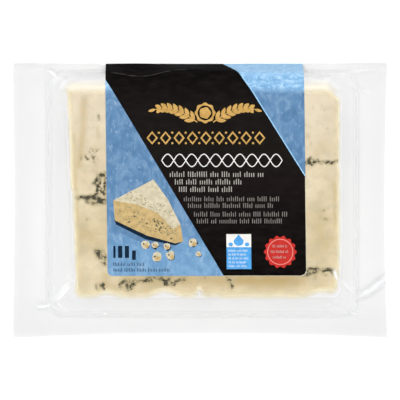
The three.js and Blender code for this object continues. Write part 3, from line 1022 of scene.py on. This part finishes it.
def wedge_print(rng):
    """A cut of cheese drawn in a few flat fields, with specks and crumbs."""
    shapes = [("cast", WEDGE_CAST), ("navy", WEDGE_SHADE), ("cut_side", WEDGE_SIDE), ("cut_face", WEDGE_TOP)]
    for x, y, radius in CRUMBS:
        shapes += crumb_print(x, y, radius, rng)
    for _ in range(SIDE_SPECKS):
        share = rng.uniform(0, 1) ** 0.7
        x = mix(-35.6, -12.0, share)
        y = mix(26.4, 16.4, share) + rng.uniform(-1, 1) * mix(3.4, 2.6, share)
        shapes.append(speck_print(x, y, ["speck", "speck_pale", "hole"], 0.62, (0.14, 0.34), rng))
    for _ in range(TOP_SPECKS):
        share = rng.uniform(0, 1)
        x = mix(-33.0, -13.0, share)
        y = mix(31.4, 23.4, share) + rng.uniform(0, 1) * mix(2.6, 2.0, share) * 1.6
        shapes.append(speck_print(x, y, ["speck_pale", "hole"], 0.5, (0.12, 0.26), rng))
    return shapes


def fold_line(strip):
    """Where the strip bends down, along the part of its width that shows a worn crease."""
    path = []
    for column, across in enumerate(strip.columns):
        if FOLD_WORN_FROM < across < FOLD_WORN_TO:
            target = bend_y(FOLD_CENTRE_X + across)
            path.append((across, strip.along[np.argmax(strip.y[column] > target)]))
    return path


# The dark band that runs up and to the left, and the thin rule along its upper side
BAND_LEFT, BAND_LEFT_TOP, BAND_RIGHT_TOP, BAND_SLOPE = 6.6, 79.0, 39.8, 1.632
BAND_SIDE_TOP = 39.4  # where the band meets its own thin margin
RULE_START, RULE_BEND, RULE_WIDTH = 39.9, (7.3, 93.0), 0.42
CUT_EDGE_TOP = 39.5
WORN_WIDTH = 0.3


def ground_print(strip):
    """The label's ground: blue, with the dark band, its rule and the worn crease of the fold."""
    half = LABEL_WIDTH / 2
    side, corner, rim = half - LABEL_RIM, LABEL_CORNER, LABEL_RIM
    bevel = 0.3 * corner
    band = [
        (BAND_LEFT, rim), (side - corner, rim), (side - bevel, rim + bevel), (side, rim + corner),
        (side, BAND_SIDE_TOP), (half, BAND_RIGHT_TOP), (-half, BAND_RIGHT_TOP + 2 * half * BAND_SLOPE),
        (-half, BAND_LEFT_TOP),
    ]
    rule = [(half, RULE_START), RULE_BEND, (-half, RULE_START + 2 * half * BAND_SLOPE)]
    return [
        ("blue", box(-half, 0, half, strip.length)),
        ("cut_edge", box(BAND_LEFT, 0, half, CUT_EDGE_TOP)),
        ("black", band),
        ("rule", stroke(rule, RULE_WIDTH)),
        ("worn", stroke(fold_line(strip), WORN_WIDTH)),
    ]


ROSETTE_Y = 65.2


def wreath_print():
    """Two halves of a wreath, and a rosette between them."""
    shapes = [("gold", shape) for side in (-1, 1) for shape in laurel(side)]
    rings = [
        ("gold", rosette(0, ROSETTE_Y, 4.2, 8)),
        ("black", ellipse(0, ROSETTE_Y, 3.0, 3.0)),
        ("gold", rosette(0, ROSETTE_Y, 2.4, 5)),
    ]
    return shapes + rings


# Lines of small print, each as its ink, left end, right end, base and height
SMALL_PRINT = [
    ("pale", -14.4, 24.9, 39.6, 2.15),
    ("pale", -12.4, 15.7, 36.6, 2.15),
    ("pale", -10.8, 10.8, 33.6, 2.15),
    ("grey", -8.9, 32, 29.85, 1.95),
    ("grey", -7.3, 26.8, 27.2, 1.95),
    ("grey", -4.9, 32.8, 23.75, 1.95),
    ("grey", -3.8, 32.3, 21, 1.95),
    ("navy", -37.4, -25, 3.9, 1.5),
    ("navy", -37.4, -14, 1.7, 1.5),
]


def small_print(rng):
    shapes = []
    for ink, left, right, base, height in SMALL_PRINT:
        shapes += inked(ink, tick_groups(left, right, base, height, rng))
    return shapes


BOX_LEFT, BOX_RIGHT, BOX_LOW, BOX_SPLIT, BOX_TOP = 7.9, 17.8, 2.7, 11.5, 16.7
BOX_LINES, BOX_LINE_TOP, BOX_LINE_PITCH = 5, 9.7, 1.55


def drop_box(rng):
    """A white field with a drop between two dots, over a blue field with lines of print."""
    shapes = [
        ("white", box(BOX_LEFT, BOX_SPLIT, BOX_RIGHT, BOX_TOP)),
        ("sky", box(BOX_LEFT, BOX_LOW, BOX_RIGHT, BOX_SPLIT)),
        ("sky", ellipse(12.8, 13.7, 2.0, 1.7)),
        ("sky", [(11.1, 14.5), (14.5, 14.5), (12.8, 16.6)]),
        ("sky", ellipse(9.6, 12.6, 0.9, 0.8)),
        ("sky", ellipse(16.1, 12.6, 0.9, 0.8)),
    ]
    for k in range(BOX_LINES):
        ticks = tick_groups(8.7, 16.9 - 0.7 * (k % 2), BOX_LINE_TOP - BOX_LINE_PITCH * k, 0.8, rng)
        shapes += inked("white", ticks)
    return shapes


ROUND_X, ROUND_Y = 29.4, 9.6


def round_seal(rng):
    """A scalloped red disc with a thin ring and three lines of print."""
    shapes = [
        ("red", rosette(ROUND_X, ROUND_Y, 6.6, 14)),
        ("rose", ellipse(ROUND_X, ROUND_Y, 5.2, 5.2, count=40)),
        ("red", ellipse(ROUND_X, ROUND_Y, 4.9, 4.9, count=40)),
    ]
    for base, reach in ((11.4, 3.0), (9.2, 3.8), (7.0, 3.0)):
        shapes += inked("pale", tick_groups(ROUND_X - reach, ROUND_X + reach, base, 1.0, rng))
    return shapes


# Four dark blocks in the corner, each as its left side, width, base and height
BLOCKS = [(-37.4, 0.9, 7.2, 4.8), (-35.5, 1.7, 7.2, 4.8), (-32.8, 1.7, 7.2, 4.8), (-29.9, 1.5, 6.4, 3.8)]
BACK_FIELD_LOW, BACK_FIELD_HIGH, BACK_FIELD_HALF = 62.0, 14.0, 31.0  # the first two from the back end
BACK_LINES, BACK_LINE_PITCH = 14, 3.0


def back_print(length, rng):
    """A white field with lines of print on the back panel."""
    low = length - BACK_FIELD_LOW
    shapes = [("white", box(-BACK_FIELD_HALF, low, BACK_FIELD_HALF, length - BACK_FIELD_HIGH))]
    for k in range(BACK_LINES):
        base = low + BACK_LINE_PITCH + BACK_LINE_PITCH * k
        shapes += inked("navy", tick_groups(-28.0, 28.0 - 9.0 * (k % 3), base, 1.4, rng))
    return shapes


def print_layout(strip):
    """Every printed field in painting order, as its ink and its outline."""
    rng = np.random.default_rng(5)
    shapes = ground_print(strip) + wreath_print() + ornament_row() + braid()
    shapes += small_print(rng)
    shapes += drop_box(rng)
    shapes += round_seal(rng)
    shapes += wedge_print(rng)
    for left, width, base, height in BLOCKS:
        shapes.append(("navy", box(left, base, left + width, base + height)))
    shapes += back_print(strip.length, rng)
    return shapes


# The printed strip's mesh

CORNER_STEPS = 6
FOLD_FROM, FOLD_TO, FOLD_CUT = 78.0, 97.0, 0.35
GRID_CUT, BACK_CUT = 2.0, 4.0


def strip_outline(length):
    """The label's own outline with its four rounded corners."""
    half = LABEL_WIDTH / 2
    corners = [
        (half, 0, -1, 1, -90), (half, length, -1, -1, 0), (-half, length, 1, -1, 90), (-half, 0, 1, 1, 180),
    ]
    points = []
    for x, y, inward_x, inward_y, start in corners:
        centre_x, centre_y = x + inward_x * LABEL_CORNER, y + inward_y * LABEL_CORNER
        for k in range(CORNER_STEPS + 1):
            angle = radians(start + 90 / CORNER_STEPS * k)
            reach_x, reach_y = LABEL_CORNER * cos(angle), LABEL_CORNER * sin(angle)
            points.append((centre_x + reach_x, centre_y + reach_y))
    return points


def counterclockwise(polygon):
    area = sum(x0 * y1 - x1 * y0 for (x0, y0), (x1, y1) in zip(polygon, polygon[1:] + polygon[:1]))
    return polygon if area > 0 else polygon[::-1]


def grid_cuts(length):
    """Lines across and along the strip, close together where it bends."""
    half = LABEL_WIDTH / 2
    front = np.arange(GRID_CUT, 76.0, GRID_CUT)
    fold = np.arange(FOLD_FROM, FOLD_TO, FOLD_CUT)
    back = np.arange(98.0, length - 1.0, BACK_CUT)
    cuts = [((-half, y), (half, y)) for y in np.concatenate([front, [76.6], fold, back])]
    cuts += [((x, 0.0), (x, length)) for x in np.arange(-38, 39, GRID_CUT)]
    return cuts


def cut_print(strip):
    """The flat label as triangles, each with its ink."""
    length = strip.length
    outline = strip_outline(length)
    shapes = print_layout(strip)
    points, edges, faces = [], [], []
    for polygon in [outline] + [shape for _, shape in shapes]:
        polygon = counterclockwise(polygon)
        faces.append(list(range(len(points), len(points) + len(polygon))))
        points += polygon
    for start, end in grid_cuts(length):
        edges.append((len(points), len(points) + 1))
        points += [start, end]
    flat, _, triangles, _, _, owners = geometry.delaunay_2d_cdt(points, edges, faces, 0, 1e-4)
    inks = ["paper"] + [ink for ink, _ in shapes]
    kept = [(list(face), inks[max(owner)]) for face, owner in zip(triangles, owners) if 0 in owner]
    return np.array([tuple(point) for point in flat]), kept


def open_edges(faces):
    """Edges that belong to one face alone, in that face's direction."""
    edges = {(a, b): True for face in faces for a, b in zip(face, face[1:] + face[:1])}
    return [(a, b) for a, b in edges if (b, a) not in edges]


def label_piece():
    strip = Strip()
    flat, kept = cut_print(strip)
    used = sorted({index for face, _ in kept for index in face})
    renumber = {index: k for k, index in enumerate(used)}
    across, along = flat[used].T
    outer = strip.place(across, along, LABEL_THICKNESS / 2)
    inner = strip.place(across, along, -LABEL_THICKNESS / 2)
    count = len(used)
    front = [[renumber[index] for index in face] for face, _ in kept]
    back = [[index + count for index in face[::-1]] for face in front]
    rim = [[a, a + count, b + count, b] for a, b in open_edges(front)]
    piece = mesh_object("label_strip", np.concatenate([outer, inner]), front + back + rim)
    names = sorted({ink for _, ink in kept} | {"paper"})
    for name in names:
        piece.data.materials.append(ink_material(name))
    inks = [names.index(ink) for _, ink in kept]
    indices = inks + [names.index("paper")] * (len(back) + len(rim))
    piece.data.polygons.foreach_set("material_index", indices)
    return piece


# Materials


def srgb(red, green, blue):
    """A colour given as a display would show it, from 0 to 255."""
    linear = []
    for value in (red / 255, green / 255, blue / 255):
        linear.append(((value + 0.055) / 1.055) ** 2.4 if value > 0.04045 else value / 12.92)
    return (*linear, 1.0)


class Nodes:
    """Short names for building one material's node tree."""

    def __init__(self, name):
        self.material = bpy.data.materials.new(name)
        self.material.use_nodes = True
        self.tree = self.material.node_tree
        self.tree.nodes.clear()
        self.coordinates = self.add("TexCoord").outputs["Object"]

    def add(self, kind, values=None, **settings):
        node = self.tree.nodes.new("ShaderNode" + kind)
        for key, value in settings.items():
            setattr(node, key, value)
        for socket, value in (values or {}).items():
            self.put(node.inputs[socket], value)
        return node

    def put(self, socket, value):
        if isinstance(value, bpy.types.NodeSocket):
            self.tree.links.new(value, socket)
        else:
            socket.default_value = value

    def attribute(self, name):
        return self.add("Attribute", attribute_name=name).outputs["Fac"]

    def height(self):
        """The place up the pack, in metres."""
        return self.add("SeparateXYZ", {"Vector": self.coordinates}).outputs["Y"]

    def noise(self, size, detail=3.0, stretch=(1, 1, 1), distortion=0.0):
        """Noise with features of a size in millimetres."""
        scaled = self.add("Mapping", {"Vector": self.coordinates, "Scale": stretch}).outputs[0]
        values = {"Vector": scaled, "Scale": 1 / (size * MM), "Detail": detail, "Distortion": distortion}
        return self.add("TexNoise", values).outputs["Fac"]

    def ramp(self, value, *stops):
        """Greys between places from 0 to 1."""
        node = self.add("ValToRGB", {"Fac": value})
        elements = node.color_ramp.elements
        while len(elements) < len(stops):
            elements.new(0.5)
        for element, (position, colour) in zip(elements, stops):
            element.position = position
            element.color = colour if isinstance(colour, tuple) else (colour, colour, colour, 1)
        return node.outputs["Color"]

    def fade(self, value, start, end, strength):
        """0 up to the start, and the strength from the end on."""
        return self.ramp(value, (start, 0.0), (end, strength))

    def colours(self, value, *stops):
        """Colours as a display shows them, between places from 0 to 1."""
        return self.ramp(value, *[(place, srgb(*colour)) for place, *colour in stops])

    def blend(self, factor, a, b):
        node = self.add("Mix", data_type="RGBA")
        self.put(node.inputs[0], factor)
        self.put(node.inputs[6], a)
        self.put(node.inputs[7], b)
        return node.outputs[2]

    def mix_shaders(self, factor, a, b):
        return self.add("MixShader", {0: factor, 1: a, 2: b}).outputs[0]

    def math(self, operation, a, b):
        return self.add("Math", {0: a, 1: b}, operation=operation).outputs[0]

    def times(self, a, b):
        return self.math("MULTIPLY", a, b)

    def bump(self, height, strength, distance):
        values = {"Height": height, "Strength": strength, "Distance": distance * MM}
        return self.add("Bump", values).outputs["Normal"]

    def finish(self, shader):
        output = self.add("OutputMaterial")
        self.tree.links.new(shader, output.inputs["Surface"])
        return self.material

    def finish_principled(self, values):
        return self.finish(self.add("BsdfPrincipled", values).outputs[0])


# Inks, each as its colour and a second colour that mottles it, as a display shows them
INKS = {
    "rule": ((168, 212, 242), (140, 190, 230)),
    "cut_edge": ((224, 216, 198), (206, 196, 176)),
    "cast": ((88, 122, 158), (98, 134, 170)),
    "gold": ((206, 166, 98), (184, 144, 78)),
    "white": ((238, 236, 232), (222, 220, 216)),
    "pale": ((178, 173, 166), (164, 159, 153)),
    "grey": ((132, 128, 123), (120, 116, 112)),
    "navy": ((24, 42, 62), (18, 32, 48)),
    "sky": ((88, 165, 226), (76, 150, 212)),
    "red": ((196, 54, 48), (184, 47, 43)),
    "rose": ((226, 150, 142), (216, 138, 130)),
    "cut_face": ((212, 202, 176), (190, 180, 152)),
    "cut_side": ((200, 174, 122), (180, 154, 106)),
    "speck": ((66, 68, 60), (96, 92, 74)),
    "speck_pale": ((140, 136, 108), (158, 150, 118)),
    "hole": ((172, 150, 106), (156, 138, 98)),
    "worn": ((84, 80, 76), (34, 32, 30)),
    "paper": ((236, 236, 234), (228, 228, 226)),
}
INK_ROUGHNESS = 0.5
ROUGHNESS_OF = {"gold": 0.42, "paper": 0.6}
INK_SPECULAR, BLACK_SPECULAR = 0.04, 0.005
MOTTLE_SIZE, FIBRE_SIZE, FIBRE_DEPTH = 1.6, 0.35, 0.02
RAMP_SPAN = 100.0  # millimetres up the pack that one colour ramp covers


def mottled_colour(nodes, name):
    first, second = (srgb(*colour) for colour in INKS[name])
    return nodes.blend(nodes.fade(nodes.noise(MOTTLE_SIZE, 5.0), 0.35, 0.65, 1.0), first, second)


def black_print_and_painted_light(nodes):
    """Near black, a little paler and browner halfway up the band; the paling is painted light."""
    stops = [
        (0.0, 13, 11, 10), (0.22, 19, 16, 15), (0.36, 25, 20, 19), (0.5, 26, 23, 21),
        (0.66, 24, 21, 20), (0.76, 18, 16, 15), (0.83, 11, 10, 10),
    ]
    up_the_label = nodes.math("ADD", nodes.times(nodes.height(), 1 / (RAMP_SPAN * MM)), 0.3)
    # The paler stops halfway up the band are painted light
    base = nodes.colours(up_the_label, *stops)
    worn = nodes.fade(nodes.noise(2.4, 5.0, stretch=(0.5, 1.0, 1.0)), 0.42, 0.72, 0.3)
    return nodes.blend(worn, base, srgb(40, 36, 34))


# Heights on the pack where the blue changes: to its cloudy upper part, to a painted highlight on
# its fold and, downwards, to its lighter lower part
CLOUD_FROM, CLOUD_TO = 42.5, 45.5
LIT_FOLD_FROM, LIT_FOLD_TO = 49.5, 51.5
LOWER_FROM, LOWER_TO = -10.0, -19.0


def blue_colour(nodes):
    """Sky blue brushed with pale streaks, lighter at both ends of the front panel."""
    streaks = nodes.noise(5.0, 8.0, stretch=(1.0, 0.7, 1.0), distortion=1.4)
    scratches = nodes.noise(1.3, 6.0, stretch=(1.0, 0.45, 1.0), distortion=0.8)
    wisps = nodes.noise(3.2, 7.0, stretch=(0.8, 1.0, 1.0), distortion=2.0)
    base = nodes.colours(streaks, (0.3, 82, 119, 156), (0.5, 94, 132, 170), (0.68, 119, 151, 183))
    cloud = nodes.colours(wisps, (0.36, 124, 174, 218), (0.5, 146, 194, 233), (0.64, 184, 220, 247))
    brushed = nodes.blend(nodes.fade(scratches, 0.56, 0.72, 0.55), base, srgb(157, 182, 206))
    up = nodes.times(nodes.height(), 1 / (RAMP_SPAN * MM))
    upper = nodes.fade(up, CLOUD_FROM / RAMP_SPAN, CLOUD_TO / RAMP_SPAN, 1.0)
    # A painted highlight where the label bends down towards the light
    lit_fold = nodes.fade(up, LIT_FOLD_FROM / RAMP_SPAN, LIT_FOLD_TO / RAMP_SPAN, 0.5)
    down = nodes.times(up, -1.0)
    lower = nodes.fade(down, -LOWER_FROM / RAMP_SPAN, -LOWER_TO / RAMP_SPAN, 0.36)
    colour = nodes.blend(upper, brushed, nodes.blend(0.8, brushed, cloud))
    colour = nodes.blend(lit_fold, colour, srgb(178, 220, 255))
    return nodes.blend(lower, colour, nodes.blend(0.6, brushed, srgb(148, 200, 240)))


def ink_material(name):
    nodes = Nodes("label_" + name)
    if name == "blue":
        colour = blue_colour(nodes)
    elif name == "black":
        colour = black_print_and_painted_light(nodes)
    else:
        colour = mottled_colour(nodes, name)
    return nodes.finish_principled({
        "Base Color": colour,
        "Roughness": ROUGHNESS_OF.get(name, INK_ROUGHNESS),
        "Specular IOR Level": BLACK_SPECULAR if name == "black" else INK_SPECULAR,
        "Normal": nodes.bump(nodes.noise(FIBRE_SIZE, 4.0), 0.25, FIBRE_DEPTH),
    })


# The paste grows paler and greyer upwards, between these heights on the face
PALER_FROM, PALER_TO = -8.0, 30.0
SCATTER_RED, SCATTER_GREEN, SCATTER_BLUE = 2.2, 1.4, 0.7


def paste_colour(nodes):
    """The cheese without its mould: cream, mottled, and paler at its edges, its pale rim painted light
    that stands in for light scattered through the thin edge.
    """
    stops = (0.28, 202, 186, 148), (0.5, 220, 204, 170), (0.72, 230, 217, 186)
    paste = nodes.colours(nodes.noise(9.0, 4.0), *stops)
    grain = nodes.fade(nodes.noise(1.2, 6.0), 0.52, 0.75, 0.45)
    paste = nodes.blend(grain, paste, srgb(204, 188, 152))
    heights = {0: nodes.height(), 1: PALER_FROM * MM, 2: PALER_TO * MM, 4: 0.5}
    paste = nodes.blend(nodes.add("MapRange", heights).outputs[0], paste, srgb(232, 221, 202))
    # The paste's own darker patches, and painted shadow under the label's lower end
    paste = nodes.blend(nodes.times(nodes.attribute("tone_and_shade"), 0.55), paste, srgb(190, 166, 114))
    paste = nodes.blend(nodes.times(nodes.attribute("edge"), 0.7), paste, srgb(236, 220, 172))
    # Painted light: a pale rim where light scatters through the cheese's thin edge
    paste = nodes.blend(nodes.times(nodes.attribute("rim"), 0.85), paste, srgb(246, 240, 220))
    patch = nodes.fade(nodes.noise(4.0, 2.0), 0.5, 0.68, 1.0)
    return nodes.blend(nodes.times(patch, 0.35), paste, srgb(196, 186, 158))


def cheese_material():
    nodes = Nodes("cheese")
    vein = nodes.attribute("vein")
    halo = nodes.fade(vein, 0.05, 0.6, 0.6)
    paste = nodes.blend(halo, paste_colour(nodes), srgb(182, 168, 128))
    grit = nodes.fade(nodes.noise(1.6, 2.5, distortion=0.9), 0.32, 0.68, 0.7)
    growth = nodes.math("SUBTRACT", vein, grit)
    mould = nodes.fade(growth, 0.0, 0.5, 0.95)
    tint = nodes.colours(growth, (0.1, 134, 126, 96), (0.6, 52, 50, 38))
    relief = nodes.math("SUBTRACT", nodes.noise(0.8, 6.0), nodes.times(mould, 0.5))
    return nodes.finish_principled({
        "Base Color": nodes.blend(mould, paste, tint),
        "Roughness": 0.55,
        "Specular IOR Level": 0.06,
        "Subsurface Weight": 0.2,
        "Subsurface Radius": (SCATTER_RED * MM, SCATTER_GREEN * MM, SCATTER_BLUE * MM),
        "Subsurface Scale": 1.0,
        "Normal": nodes.bump(relief, 0.45, 0.25),
    })


CLEAR_TINT, SEALED_TINT = (0.963, 0.963, 0.966, 1), (0.91, 0.91, 0.915, 1)
MILK_COLOUR, CREAM_COLOUR = (0.955, 0.96, 0.975, 1), (0.93, 0.86, 0.67, 1)
MILK_LIFT = (0.0, 0.0, 1.5)
MILK_THROUGH = 0.2  # share of the milk's light that passes through it
GLOSS_ROUGHNESS = 0.2
GLOSS_FACING, GLOSS_GRAZING, GLOSS_INSIDE = 0.045, 0.9, 0.12
SEAL_MILK, LEAST_MILK = 0.12, 0.015


def film_milk(nodes, normal):
    """The film's milkiness, mostly painted light, creamy where it is tinted."""
    colour = nodes.blend(nodes.attribute("cream_tint"), MILK_COLOUR, CREAM_COLOUR)
    # Light spreads inside milky film, so its shade follows the slope of the skin only a little
    lifted = nodes.add("VectorMath", {0: normal, 1: MILK_LIFT}, operation="ADD").outputs[0]
    even = nodes.add("VectorMath", {0: lifted}, operation="NORMALIZE").outputs[0]
    above = nodes.add("BsdfDiffuse", {"Color": colour, "Normal": even}).outputs[0]
    through = nodes.add("BsdfTranslucent", {"Color": colour, "Normal": normal}).outputs[0]
    return nodes.mix_shaders(MILK_THROUGH, above, through)


def film_material():
    """Clear film: seen through, with a gloss that follows the angle and a faint haze, mostly laid on as
    painted light.
    """
    nodes = Nodes("film")
    seal = nodes.attribute("seal")
    ripple = nodes.math("ADD", nodes.noise(6.0, 2.0), nodes.times(nodes.noise(1.6, 3.0), 0.12))
    normal = nodes.bump(ripple, 0.3, 0.25)
    clear = nodes.add("BsdfTransparent", {"Color": nodes.blend(seal, CLEAR_TINT, SEALED_TINT)}).outputs[0]
    values = {"Color": (1, 1, 1, 1), "Roughness": GLOSS_ROUGHNESS, "Normal": normal}
    gloss = nodes.add("BsdfAnisotropic", values).outputs[0]
    facing = nodes.add("LayerWeight", {"Blend": 0.5, "Normal": normal}).outputs["Facing"]
    grazing = nodes.times(nodes.math("POWER", facing, 5.0), GLOSS_GRAZING)
    outside = nodes.ramp(nodes.attribute("front"), (0.0, GLOSS_INSIDE), (1.0, 1.0))
    shine = nodes.times(nodes.math("ADD", grazing, GLOSS_FACING), outside)
    # The haze mark is mostly painted light over the shade beside the slab, and highlights along creases
    milky = nodes.math("ADD", nodes.attribute("haze_and_painted_light"), nodes.times(seal, SEAL_MILK))
    milky = nodes.math("ADD", milky, LEAST_MILK)
    veiled = nodes.mix_shaders(milky, clear, film_milk(nodes, normal))
    return nodes.finish(nodes.mix_shaders(shine, veiled, gloss))


def floor_material():
    nodes = Nodes("floor")
    colour = nodes.ramp(nodes.noise(60.0, 2.0), (0.0, 0.9), (1.0, 0.92))
    return nodes.finish(nodes.add("BsdfDiffuse", {"Color": colour}).outputs[0])


# Stage, light and camera

FLOOR_HALF = 3000.0


def add_floor():
    corners = [(x, y, 0) for x, y in box(-FLOOR_HALF, -FLOOR_HALF, FLOOR_HALF, FLOOR_HALF)]
    floor = mesh_object("floor", corners, [[0, 1, 2, 3]])
    floor.data.materials.append(floor_material())


def add_area_light(name, place, target, size, power):
    data = bpy.data.lights.new(name, "AREA")
    data.shape = "RECTANGLE"
    data.size, data.size_y = size
    data.energy = power
    light = bpy.data.objects.new(name, data)
    light.location = place
    aim = np.array(target) - np.array(place)
    yaw = atan2(aim[0], -aim[1])
    pitch = atan2(hypot(aim[0], aim[1]), -aim[2])
    light.rotation_euler = (pitch, 0, yaw + pi)
    bpy.context.scene.collection.objects.link(light)
    return light


# Lights that make no highlight, each as its place, size and power
SOFT_LIGHTS = [
    ("overhead", (0, 0, 1.3), (0.5, 0.5), 16.7),
    ("fill_top", (0, 1, 0.8), (1.9, 0.4), 2.4),
]
# Strips that only make the film's highlights: place, size and power
STRIPS = [
    ("strip_top", (0, 1.05, 0.82), (1.9, 0.32), 4.2),
    ("strip_left", (-1.03, 0.2, 0.82), (1.5, 0.3), 4),
    ("strip_right", (1.03, 0.2, 0.82), (1.5, 0.3), 1),
    ("corner_left", (-0.78, 0.78, 0.82), (0.5, 0.3), 2.5),
    ("corner_right", (0.78, 0.78, 0.82), (0.5, 0.3), 2.5),
    ("near", (-0.12, 0.32, 0.82), (0.5, 0.14), 0.55),
]
WORLD_STRENGTH = 0.2


def add_light():
    world = bpy.data.worlds.new("studio")
    world.use_nodes = True
    background = world.node_tree.nodes["Background"].inputs
    background["Color"].default_value = (1, 1, 1, 1)
    background["Strength"].default_value = WORLD_STRENGTH
    bpy.context.scene.world = world
    for name, place, size, power in SOFT_LIGHTS:
        soft = add_area_light(name, place, (0, 0, 0), size, power)
        soft.visible_glossy = False
    for name, place, size, power in STRIPS:
        strip = add_area_light(name, place, (0, 0, 0), size, power)
        strip.visible_diffuse = False
    bpy.context.scene.view_settings.view_transform = "Standard"


CAMERA_DISTANCE = 1200.0
FRAME_WIDTH = 160.44  # across the flange
FRAME_CENTRE_Y = 0.16
SENSOR = 36.0
CAMERA_FAR_END = 20  # metres


def add_camera():
    data = bpy.data.cameras.new("camera")
    data.sensor_width = SENSOR
    data.lens = SENSOR * CAMERA_DISTANCE / FRAME_WIDTH
    data.clip_end = CAMERA_FAR_END
    camera = bpy.data.objects.new("camera", data)
    camera.location = (0, FRAME_CENTRE_Y * MM, (FLANGE_HEIGHT + CAMERA_DISTANCE) * MM)
    bpy.context.scene.collection.objects.link(camera)
    bpy.context.scene.camera = camera


LABEL_SHARP_ANGLE = 40


def smooth(piece, angle=None):
    piece.data.polygons.foreach_set("use_smooth", [True] * len(piece.data.polygons))
    if angle:
        piece.data.set_sharp_from_angle(angle=radians(angle))
    piece.data.update()


def main():
    add_camera()
    add_floor()
    add_light()
    film, cheese, label = film_piece(), cheese_piece(), label_piece()
    film.data.materials.append(film_material())
    cheese.data.materials.append(cheese_material())
    smooth(film)
    smooth(cheese)
    smooth(label, LABEL_SHARP_ANGLE)
    rows = (film, "pouch", "film"), (cheese, "pouch", "cheese"), (label, "label", "label")
    for piece, node, slot in rows:
        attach(piece, "root")
        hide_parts(node)


main()
